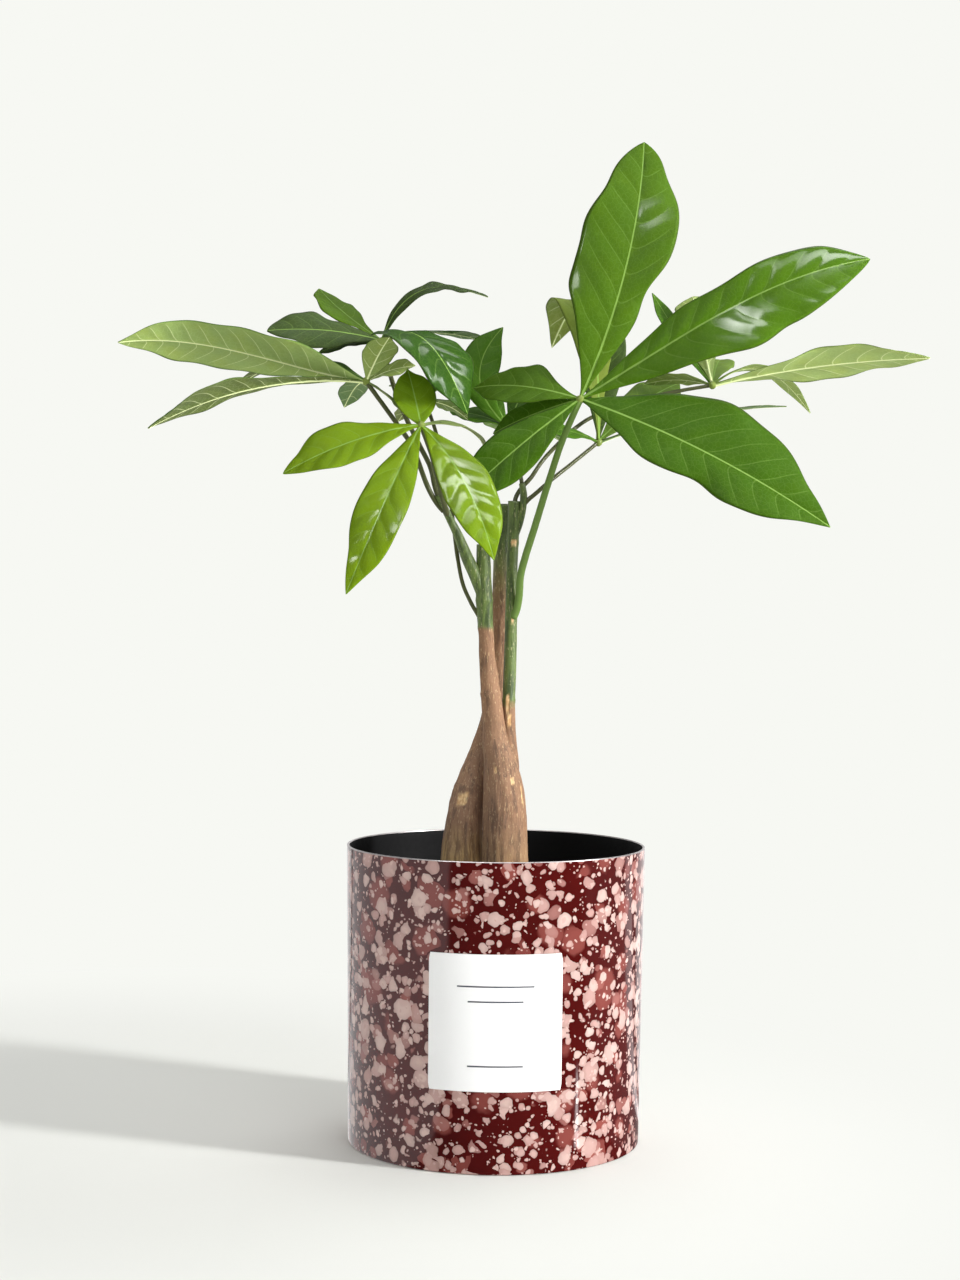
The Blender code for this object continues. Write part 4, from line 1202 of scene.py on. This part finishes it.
class MONEYTREE_OT_leaves(bpy.types.Operator):
    """Builds the palmate leaves: petiole, hub and veined, pillowed leaflets"""

    bl_idname = "moneytree.leaves"
    bl_label = "Leaves"

    SHEET_SCALE = 0.01
    MATTE = 0.2
    STALK_WAX = 0.35
    PULVINUS = 0.30
    STALK_NOISE = 0.06
    HUB_ROWS = 14
    HUB_SIDES = 24
    HUB_LUMPS = 0.10

    # How far the petiole's swellings reach from the stem and from the hub, in millimetres.
    STEM_SWELLING = 4.0
    HUB_SWELLING = 5.0

    def execute(self, context):
        green = self.material(context.scene.money_tree_plant)
        for name, leaf in LEAVES.items():
            solids = [self.petiole(leaf), self.hub(leaf)]
            for number, leaflet in enumerate(leaf.leaflets):
                solids.append(self.blade(leaf, leaflet, number))
            make_piece(name + "_blades", join(solids), green, name)
        return {"FINISHED"}

    def stalk_marks(self, rings, colour):
        """Marks of a part with no veins: its colour, and a place far from every vein."""
        rows, sides = rings.shape[:2]
        blade = np.broadcast_to((0.5, 0.5, 0.5), (rows, sides, 3))
        tint = np.broadcast_to((*display(*colour), self.STALK_WAX), (rows, sides, 4))
        sheet = np.broadcast_to((0.5, 0.5), (rows, sides, 2))
        return {"blade": blade, "tint": tint, "sheet": sheet}

    def petiole(self, leaf):
        """A tube along the petiole's path, thicker where it leaves the stem and at the hub."""
        path = smooth_path(leaf.petiole + (leaf.hub,), PETIOLE_ROW)
        t = np.linspace(0.0, 1.0, len(path))
        length = np.linalg.norm(np.diff(path, axis=0), axis=1).sum()
        swell = bell(t * length, 0.0, self.STEM_SWELLING) + bell((1 - t) * length, 0.0, self.HUB_SWELLING)
        radii = np.linspace(*leaf.radii, len(path)) * (0.93 + 0.22 * swell * self.PULVINUS)
        ways = ring_ways(path, PETIOLE_SIDES)
        rings = path[:, None, :] + radii[:, None, None] * ways
        rings = rings + self.STALK_NOISE * lattice_noise(rings / 2.0, 60)[..., None] * ways
        return ring_stack(rings, self.stalk_marks(rings, STALK_TONES[leaf.stalk]))

    def hub(self, leaf):
        """The knob where the leaflets meet: a ball flattened a little, with low lumps."""
        polar = np.linspace(0.06, math.pi - 0.06, self.HUB_ROWS)[:, None]
        around = even_angles(self.HUB_SIDES)
        ball = np.stack([np.sin(polar) * np.cos(around), np.sin(polar) * np.sin(around),
                         np.cos(polar) + 0 * around], -1)
        radius = HUB_RADIUS * (1 + self.HUB_LUMPS * lattice_noise(ball * 2.0 + np.array(leaf.hub), 61))
        rings = np.array(leaf.hub) + radius[..., None] * ball
        return ring_stack(rings, self.stalk_marks(rings, STALK_TONES["hub"]))

    def blade(self, leaf, leaflet, number):
        """One leaflet as a closed lens-shaped ring at each row.

        T runs along it from nought at the hub to one at the tip, and w across it from -1 to 1,
        with more columns near the midrib. Offset is the place beside the midrib and lift the
        height over it. Between side veins the blade is pillowed, and low lumps lie all over it.
        """
        length = np.linalg.norm(leaflet.reach)
        rows = max(LEAST_BLADE_ROWS, round(length / BLADE_ROW))
        t = np.linspace(0.0, 1.0, rows + 1)[:, None]
        even = np.linspace(-1.0, 1.0, 2 * BLADE_HALF_COLUMNS + 1)
        w = (np.sign(even) * np.abs(even) ** COLUMN_CROWDING)[None, :]
        midrib, side, normal = self.midrib(leaf, leaflet, length, t)
        half = self.half_width(leaflet, t, w)
        lean = leaflet.lean + leaflet.swing * np.cos(math.pi * t)
        offset = w * half * (1 - lean * np.sign(w))
        vein, seen = self.vein_coordinate(leaflet, number, length, t, offset, w)
        veined = self.veined_share(t, w)
        size = min(1.0, leaflet.width / FULL_RELIEF_WIDTH)
        lift = half * self.curl(t, w, WAVE_TURN * number)
        lift = lift + leaflet.quilt * size * (self.pillow(vein) - 0.5) * veined
        lift = lift + LUMP_HEIGHT * size * lattice_noise(seen * LUMP_SCALE, 63) * veined
        middle = midrib + offset[..., None] * side + lift[..., None] * normal
        upper, lower = self.half_thickness(t, w, offset, vein, veined, size)
        above = middle + upper[..., None] * normal
        below = middle - lower[..., None] * normal
        rings = np.concatenate([above, below[:, -2:0:-1]], 1)
        return ring_stack(rings, self.blade_marks(leaflet, t, w, offset, length, vein))

    def midrib(self, leaf, leaflet, length, t):
        """The midrib, and the ways to its right and out of the upper side, at each row.

        It is the chord from the hub to the tip, bowed up and sideways by a parabola.
        """
        reach = np.array(leaflet.reach)
        along, out = blade_frame(reach, leaf.face, leaflet.roll)
        bend = length * (leaflet.arch * out + leaflet.sway * np.cross(along, out))
        bow = 4 * t * (1 - t) * (1 + leaflet.skew * (2 * t - 1))
        midrib = np.array(leaf.hub) + t * reach + bow * bend
        slope = units(np.gradient(midrib, axis=0))
        normal = units(out - (slope @ out)[:, None] * slope)
        side = np.cross(slope, normal)
        return midrib[:, None, :], side[:, None, :], normal[:, None, :]

    def half_width(self, leaflet, t, w):
        """A power of the distance from the root times a power of that from the tip.

        It is never less than the stalk's half width, and each half's edge swells and dips.
        """
        peak = leaflet.broadest
        outline = ((t / peak) ** peak * ((1 - t) / (1 - peak)) ** (1 - peak)) ** BLADE_TAPER
        outline = outline * (1 - leaflet.point * smooth_step(0.80, 0.98, t))
        stalk = TIP_HALF_WIDTH + (STALK_HALF_WIDTH - TIP_HALF_WIDTH) * (1 - smooth_step(0.6, 1.0, t))
        half = np.sqrt((leaflet.width / 2 * outline) ** 2 + stalk ** 2)
        for half_sign, place, swell, spread in leaflet.edges:
            half = half * (1 + (np.sign(w) == half_sign) * swell * bell(t, place, spread))
        return half

    def curl(self, t, w, phase):
        """Height by half width: a shallow gutter whose halves curl over, waves and frills."""
        ripple = WAVE_HEIGHT * np.sin(2 * math.pi * WAVES * t + phase + WAVE_SHIFT * (w > 0))
        frill = FRILL_HEIGHT * np.sin(2 * math.pi * FRILLS * t + FRILL_TURN * phase + FRILL_SHIFT * (w > 0))
        return GUTTER * np.abs(w) - CURL * w ** 2 + ripple * w ** 2 + frill * w ** 4

    def vein_coordinate(self, leaflet, number, length, t, offset, w):
        """A coordinate whose whole numbers lie on the side veins, and the places of its noise.

        It is the place along the blade less a lean and a bend that grow with the distance from
        the midrib, in spacings of the veins.
        """
        apart = np.abs(offset)
        widest = leaflet.width / 2
        spacing, slant = leaflet.veins
        spacing = spacing * (0.50 + 0.50 * min(1.0, length / FULL_SPACING_LENGTH))
        up_blade = t * length - slant * apart - VEIN_BEND * apart ** 2 / widest
        vein = up_blade / spacing + VEIN_STAGGER * np.tanh(w * 6.0) + VEIN_SHIFT * number
        seen = np.stack([offset / NOISE_CELL + number * NOISE_SHIFT, t * length / NOISE_CELL + 0 * w,
                         0 * w + 0 * t], -1)
        return vein + VEIN_NOISE * lattice_noise(seen, 62), seen

    def veined_share(self, t, w):
        """One where the blade is veined, and nought at its margin, midrib, root and tip."""
        share = (1 - w ** 6) * smooth_step(0.0, 0.16, np.abs(w)) * smooth_step(0.02, 0.16, t)
        return share * (1 - smooth_step(0.88, 1.0, t))

    def pillow(self, vein):
        """Nought on the veins and one midway: a power of a cosine of the vein coordinate."""
        return (0.5 - 0.5 * np.cos(2 * math.pi * vein)) ** PILLOW_POWER

    def half_thickness(self, t, w, offset, vein, veined, size):
        """How far the upper and the lower side lie from the middle, down to none at the margin.

        It is full at the midrib and thin at the margin. The midrib stands out on both sides,
        and a side vein is a groove above and a ridge below.
        """
        thick = (BLADE_THICKNESS + STALK_THICKENING * np.exp(-t / STALK_FADE)) / 2
        thick = thick * (0.30 + 0.70 * np.sqrt(np.clip(1 - np.abs(w) ** 5, 0.0, 1.0)))
        rib = bell(offset, 0.0, MIDRIB_HALF_WIDTH * (1.25 - 0.85 * t))
        ridge = bell(np.abs(vein - np.round(vein)), 0.0, VEIN_SPREAD) * veined
        upper = thick + 0.10 * rib * (1 - t) - GROOVE_DEPTH * ridge * size
        lower = thick + RIB_HEIGHT * (1.1 - 0.9 * t) * rib * size + 0.7 * GROOVE_DEPTH * ridge * size
        closing = (np.abs(w) < 1.0).astype(float)
        return upper * closing, lower * closing

    def blade_marks(self, leaflet, t, w, offset, length, vein):
        """Marks of a leaflet: its place across and along and the vein coordinate, its colour
        with how waxy it is as alpha, nought below, and the sheet laid flat as the UV map."""
        tone = TONES[leaflet.tone]
        shape = offset.shape
        blade = np.stack([w + 0 * t, t + 0 * w, vein], -1)
        finer = max(1.0, 30.0 / leaflet.width) ** 0.8
        sheet = np.stack([offset * finer * self.SHEET_SCALE, t * length * self.SHEET_SCALE + 0 * w], -1)
        upper = np.broadcast_to((*display(*tone.upper), 1.0), shape + (4,)).copy()
        wax = 0 * offset
        for across, along, wide, tall, strength in leaflet.waxy:
            spot = np.exp(-((w - across) / wide) ** 2 - ((t - along) / tall) ** 2)
            wax = np.maximum(wax, strength * spot)
        upper[..., 3] = self.MATTE + (1 - self.MATTE) * wax
        lower = np.broadcast_to((*display(*tone.lower), 0.0), shape + (4,))
        back = slice(-2, 0, -1)
        return {
            "blade": np.concatenate([blade, blade[:, back]], 1),
            "tint": np.concatenate([upper, lower[:, back]], 1),
            "sheet": np.concatenate([sheet, sheet[:, back]], 1),
        }

    def material(self, settings):
        """A waxy leaf: its tint, paler veins and net, a thin dark margin, glossy above.

        The blade attribute holds the place across, along and in the vein coordinate. The tint's
        alpha is nought below, and from 0.2, matte, to 1, waxy, above.
        """
        material, sheet, place = new_material("leaf", IOR=1.45, Specular_IOR_Level=0.04,
                                              Coat_Roughness=0.14, Coat_IOR=1.5)
        tint = sheet.add("ShaderNodeAttribute", attribute_name="tint").outputs
        blade = sheet.add("ShaderNodeAttribute", attribute_name="blade").outputs
        flat = sheet.add("ShaderNodeUVMap", uv_map="sheet").outputs[0]
        w, t, vein = sheet.parts(blade["Vector"])
        across = sheet.maths("ABSOLUTE", w)
        wax = tint["Alpha"]
        upper = sheet.step(wax, 0.05, 0.15)
        midrib, veins, net = self.lines(sheet, flat, across, t, vein, upper)

        colour, grain = mottled(sheet, tint["Color"], place, broad=45.0, fine=500.0, amount=0.16)
        young = sheet.step(sheet.noise(flat, 6.0, 2.0), 0.35, 0.75, 0.0, 0.5)
        warmer = sheet.mix(1.0, colour, colour4((1.22, 1.10, 0.72)), "MULTIPLY")
        colour = sheet.mix(young, colour, warmer)
        pale = sheet.mix(upper, painted(238, 248, 186), painted(140, 176, 84))
        paler = sheet.step(upper, 0.0, 1.0, settings.vein_share, settings.vein_share * 0.36)
        colour = sheet.mix(sheet.maths("MULTIPLY", veins, paler), colour, pale)
        colour = sheet.mix(sheet.maths("MULTIPLY", net, 0.06), colour, pale)
        rib_share = sheet.maths("MULTIPLY", midrib, sheet.step(upper, 0.0, 1.0, 1.0, 0.80))
        colour = sheet.mix(rib_share, colour, pale)
        colour = sheet.mix(sheet.step(across, 0.955, 0.99, 0.0, 0.45), colour, painted(92, 104, 60))

        dull = sheet.step(grain, 0.25, 0.75, 0.50, 0.62)
        rough = sheet.maths("SUBTRACT", dull, sheet.maths("MULTIPLY", wax, 0.22))
        coat = sheet.maths("MULTIPLY_ADD", wax, 1.25, -0.25, clamp=True)
        height = sheet.maths("MULTIPLY", grain, 0.4)
        height = sheet.maths("SUBTRACT", height, sheet.maths("MULTIPLY", net, 0.5))
        sheet.finish(Base_Color=colour, Roughness=rough, Coat_Weight=coat,
                     Normal=sheet.bump(height, 0.00012, 0.5))
        return material

    def lines(self, sheet, flat, across, t, vein, upper):
        """One on the midrib, on the side veins and on the net between them, and nought beside."""
        off_rib = sheet.maths("ABSOLUTE", sheet.parts(flat)[0])
        rib_edge = sheet.maths("MULTIPLY_ADD", t, -0.0050, 0.0095)
        rib_edge = sheet.maths("MULTIPLY", rib_edge, sheet.step(upper, 0.0, 1.0, 1.0, 0.72))
        midrib = sheet.fall(off_rib, sheet.maths("MULTIPLY", rib_edge, 0.55), rib_edge)
        wrapped = sheet.maths("FRACT", sheet.maths("ADD", vein, 0.5))
        near = sheet.maths("ABSOLUTE", sheet.maths("SUBTRACT", wrapped, 0.5))
        veins = sheet.maths("MULTIPLY", sheet.fall(near, 0.010, 0.042), sheet.fall(across, 0.70, 0.96))
        cells = sheet.add("ShaderNodeTexVoronoi", {"Vector": flat, "Scale": 42.0}, feature="DISTANCE_TO_EDGE")
        return midrib, veins, sheet.fall(cells.outputs["Distance"], 0.02, 0.09)


class MONEYTREE_OT_studio(bpy.types.Operator):
    """Sets up the camera, the pale floor, the lamps and the white room"""

    bl_idname = "moneytree.studio"
    bl_label = "Studio"

    FLOOR_HALF = 6.0
    FLOOR_DROP = 0.0003
    LIT_FLOOR_PLACE = (-0.20, 0.0, 0.0)
    STRIP_START = (0.077, -0.077, 0.0)
    STRIP_END = (0.224, -0.140, 0.0)
    NEAR_FLOOR = 0.16
    FAR_FLOOR = 0.48

    # What the gloss sees round the room, each from and to, in radians right of the camera, with
    # how bright and how soft at its edges it is: the wall behind on the left, the white panel,
    # the right side, the bright window in it, and the wall behind on the right.
    WALLS = ((-3.3, -2.52, 1.0, 0.015), (-2.47, -0.60, 0.95, 0.04), (1.2, 2.28, 0.22, 0.03),
             (1.99, 2.20, 1.2, 0.02), (2.34, 3.3, 1.0, 0.015))
    DARK = 0.06
    # How brightly the floor's strip glows for glossy rays: painted light that the pot reflects as a bright
    # streak.
    STRIP_GLOW = 9.0

    # Lamps that only the gloss sees: turn to the right of the camera and rise, in radians, and size.
    GLINTS = (("glint_front", 0.25, 0.95, 1.10, 0.60), ("glint_side", 1.30, 0.54, 0.60, 0.60),
              ("glint_left", -0.60, 0.65, 0.70, 0.60))
    GLINT_DISTANCE = 1.5

    def execute(self, context):
        settings = context.scene.money_tree_studio
        context.scene.view_settings.view_transform = "Standard"
        self.camera(context)
        self.floor(context, settings)
        self.lamp(context, "key", (1.50, -0.64, 0.62), (0.0, 0.0, 0.20), 0.16, 0.60, settings.key_power)
        self.lamp(context, "top", (0.1, 0.5, 1.50), (0.0, 0.0, 0.36), 0.9, 0.7, settings.top_power)
        front = self.lamp(context, "front", (0.8, -1.75, 0.8), (0.0, 0.0, 0.2), 1.0, 0.8,
                          settings.front_power)
        front.visible_glossy = False
        for name, turn, rise, width, height in self.GLINTS:
            place = self.GLINT_DISTANCE * np.array((
                math.sin(turn) * math.cos(rise), -math.cos(turn) * math.cos(rise), math.sin(rise)))
            made = self.lamp(context, name, place + (0.0, 0.0, 0.4), (0.0, 0.0, 0.4), width, height,
                             settings.glint_power)
            made.visible_diffuse = False
        self.room(context, settings)
        return {"FINISHED"}

    def camera(self, context):
        """The camera looks along +Y, dips by the pitch and is turned about its view by the roll."""
        data = bpy.data.cameras.new("camera")
        data.lens = CAMERA_LENS
        data.clip_end = 50.0
        made = bpy.data.objects.new("camera", data)
        level = Matrix.Rotation(math.pi / 2 - CAMERA_PITCH, 4, "X")
        spin = Matrix.Rotation(CAMERA_ROLL, 4, "Z")
        made.matrix_world = Matrix.Translation(np.array(CAMERA_PLACE) * MM) @ level @ spin
        context.scene.collection.objects.link(made)
        context.scene.camera = made

    def floor(self, context, settings):
        """A wide sheet that is lit near the pot and glows evenly further out, like the backdrop."""
        half = self.FLOOR_HALF
        mesh = bpy.data.meshes.new("floor")
        corners = ((-half, -half), (half, -half), (half, half), (-half, half))
        mesh.from_pydata([(x, y, -self.FLOOR_DROP) for x, y in corners], [], [(0, 1, 2, 3)])
        made = bpy.data.objects.new("floor", mesh)
        context.scene.collection.objects.link(made)
        mesh.materials.append(self.floor_material(settings))

    def floor_material(self, settings):
        """Glow plus a lit share that fades with the distance from the pot. For glossy rays the floor glows
        instead with the room pattern and a bright strip: painted light that the pot's gloss shows as
        reflections.
        """
        material = bpy.data.materials.new("pale floor")
        material.use_nodes = True
        sheet = NodeSheet(material.node_tree)
        sheet.tree.nodes.remove(sheet.tree.nodes["Principled BSDF"])
        place = object_vector(sheet)
        away = sheet.vector("DISTANCE", place, self.LIT_FLOOR_PLACE, result="Value")
        lit = sheet.fall(away, self.NEAR_FLOOR, self.FAR_FLOOR)
        white = sheet.add("ShaderNodeBsdfDiffuse", {"Color": painted(233, 234, 229)}).outputs[0]
        shown = sheet.mix_shader(lit, sheet.glow("Emission", colour4(settings.backdrop)), white)
        # Painted reflections: for glossy rays only, the floor glows with the room pattern and a bright strip.
        pattern = self.room_pattern(sheet, sheet.vector("NORMALIZE", place))
        pattern = sheet.mix(self.strip(sheet, place), pattern, colour4((self.STRIP_GLOW,) * 3))
        glossy = sheet.add("ShaderNodeLightPath").outputs["Is Glossy Ray"]
        chosen = sheet.mix_shader(glossy, shown, sheet.glow("Emission", pattern))
        sheet.feed(sheet.tree.nodes["Material Output"].inputs["Surface"], chosen)
        return material

    def strip(self, sheet, place):
        """One on a strip of floor that glows brightly for glossy rays only, painted light that the pot
        reflects as a streak, and nought beside it.
        """
        start, end = np.array(self.STRIP_START), np.array(self.STRIP_END)
        along = unit(end - start)
        across = (-along[1], along[0], 0.0)
        off = sheet.vector("DOT_PRODUCT", place, across, result="Value")
        off = sheet.maths("ABSOLUTE", sheet.maths("SUBTRACT", off, float(np.dot(start, across))))
        far = sheet.vector("DOT_PRODUCT", place, tuple(along), result="Value")
        first, last = float(np.dot(start, along)), float(np.dot(end, along))
        within = sheet.between(far, first, last, 0.004, 0.02)
        return sheet.maths("MULTIPLY", within, sheet.fall(off, 0.002, 0.004))

    def room_pattern(self, sheet, direction):
        """What the gloss sees of the room, by the direction from the pot.

        Low down the walls of the table show by the turn to the right of the camera, and it is
        dark between them. They fade out higher up, where a dim ceiling shows.
        """
        right, back, rise = sheet.parts(direction)
        turn = sheet.maths("ARCTAN2", right, sheet.maths("MULTIPLY", back, -1.0))
        level = self.DARK
        for start, end, brightness, soft in self.WALLS:
            within = sheet.between(turn, start, end, soft, soft)
            level = sheet.maths("MAXIMUM", level, sheet.maths("MULTIPLY", within, brightness))
        level = sheet.maths("MULTIPLY", level, sheet.fall(rise, 0.28, 0.42))
        level = sheet.maths("MAXIMUM", level, sheet.step(rise, 0.20, 0.85, 0.04, 0.14))
        return sheet.add("ShaderNodeCombineColor", {0: level, 1: level, 2: level}).outputs[0]

    def lamp(self, context, name, place, target, width, height, power):
        """A rectangular soft lamp at a place, turned to a target."""
        data = bpy.data.lights.new(name, "AREA")
        data.shape = "RECTANGLE"
        data.size = width
        data.size_y = height
        data.energy = power
        made = bpy.data.objects.new(name, data)
        made.location = place
        way = unit(np.array(target) - np.array(place))
        up = (0.0, 1.0, 0.0) if abs(way[2]) > 0.95 else (0.0, 0.0, 1.0)
        right = unit(np.cross(way, up))
        above = np.cross(right, way)
        turned_axes = np.stack([right, above, -way, place], 1)
        made.matrix_world = Matrix(np.vstack([turned_axes, (0.0, 0.0, 0.0, 1.0)]).tolist())
        made.visible_camera = False
        context.scene.collection.objects.link(made)
        return made

    def room(self, context, settings):
        """The camera sees the even backdrop, gloss sees the room, and the rest is soft white fill."""
        world = bpy.data.worlds.new("studio")
        world.use_nodes = True
        context.scene.world = world
        sheet = NodeSheet(world.node_tree)
        sheet.tree.nodes.remove(sheet.tree.nodes["Background"])
        direction = sheet.add("ShaderNodeTexCoord").outputs["Generated"]
        seen = sheet.glow("Background", colour4(settings.backdrop))
        fill = sheet.glow("Background", (1.0, 1.0, 1.0, 1.0), settings.fill)
        gloss = sheet.glow("Background", self.room_pattern(sheet, direction))
        path = sheet.add("ShaderNodeLightPath").outputs
        unseen = sheet.mix_shader(path["Is Glossy Ray"], fill, gloss)
        chosen = sheet.mix_shader(path["Is Camera Ray"], unseen, seen)
        sheet.feed(sheet.tree.nodes["World Output"].inputs["Surface"], chosen)


PIECE_OPERATORS = (
    MONEYTREE_OT_pot,
    MONEYTREE_OT_label,
    MONEYTREE_OT_nursery_pot,
    MONEYTREE_OT_soil,
    MONEYTREE_OT_trunks,
    MONEYTREE_OT_leaves,
    MONEYTREE_OT_studio,
)
SETTINGS = {
    "money_tree_pot": PotSettings,
    "money_tree_plant": PlantSettings,
    "money_tree_studio": StudioSettings,
}


class MONEYTREE_PT_panel(bpy.types.Panel):
    """Lists the settings and the pieces"""

    bl_idname = "MONEYTREE_PT_panel"
    bl_label = "Potted money tree"
    bl_space_type = "VIEW_3D"
    bl_region_type = "UI"
    bl_category = "Money tree"

    def draw(self, context):
        for name, group in SETTINGS.items():
            box = self.layout.box()
            for prop in group.__annotations__:
                box.prop(getattr(context.scene, name), prop)
        for operator in PIECE_OPERATORS:
            self.layout.operator(operator.bl_idname)


def register():
    """Registers the settings, the operators and the panel."""
    for name, group in SETTINGS.items():
        bpy.utils.register_class(group)
        setattr(bpy.types.Scene, name, bpy.props.PointerProperty(type=group))
    for operator in PIECE_OPERATORS:
        bpy.utils.register_class(operator)
    bpy.utils.register_class(MONEYTREE_PT_panel)


def unregister():
    """Takes back what register added, last first."""
    bpy.utils.unregister_class(MONEYTREE_PT_panel)
    for operator in reversed(PIECE_OPERATORS):
        bpy.utils.unregister_class(operator)
    for name, group in reversed(SETTINGS.items()):
        delattr(bpy.types.Scene, name)
        bpy.utils.unregister_class(group)


def main():
    """Builds every piece and the studio."""
    register()
    bpy.ops.moneytree.pot()
    bpy.ops.moneytree.label()
    bpy.ops.moneytree.nursery_pot()
    bpy.ops.moneytree.soil()
    bpy.ops.moneytree.trunks()
    bpy.ops.moneytree.leaves()
    bpy.ops.moneytree.studio()


if __name__ == "__main__":
    main()
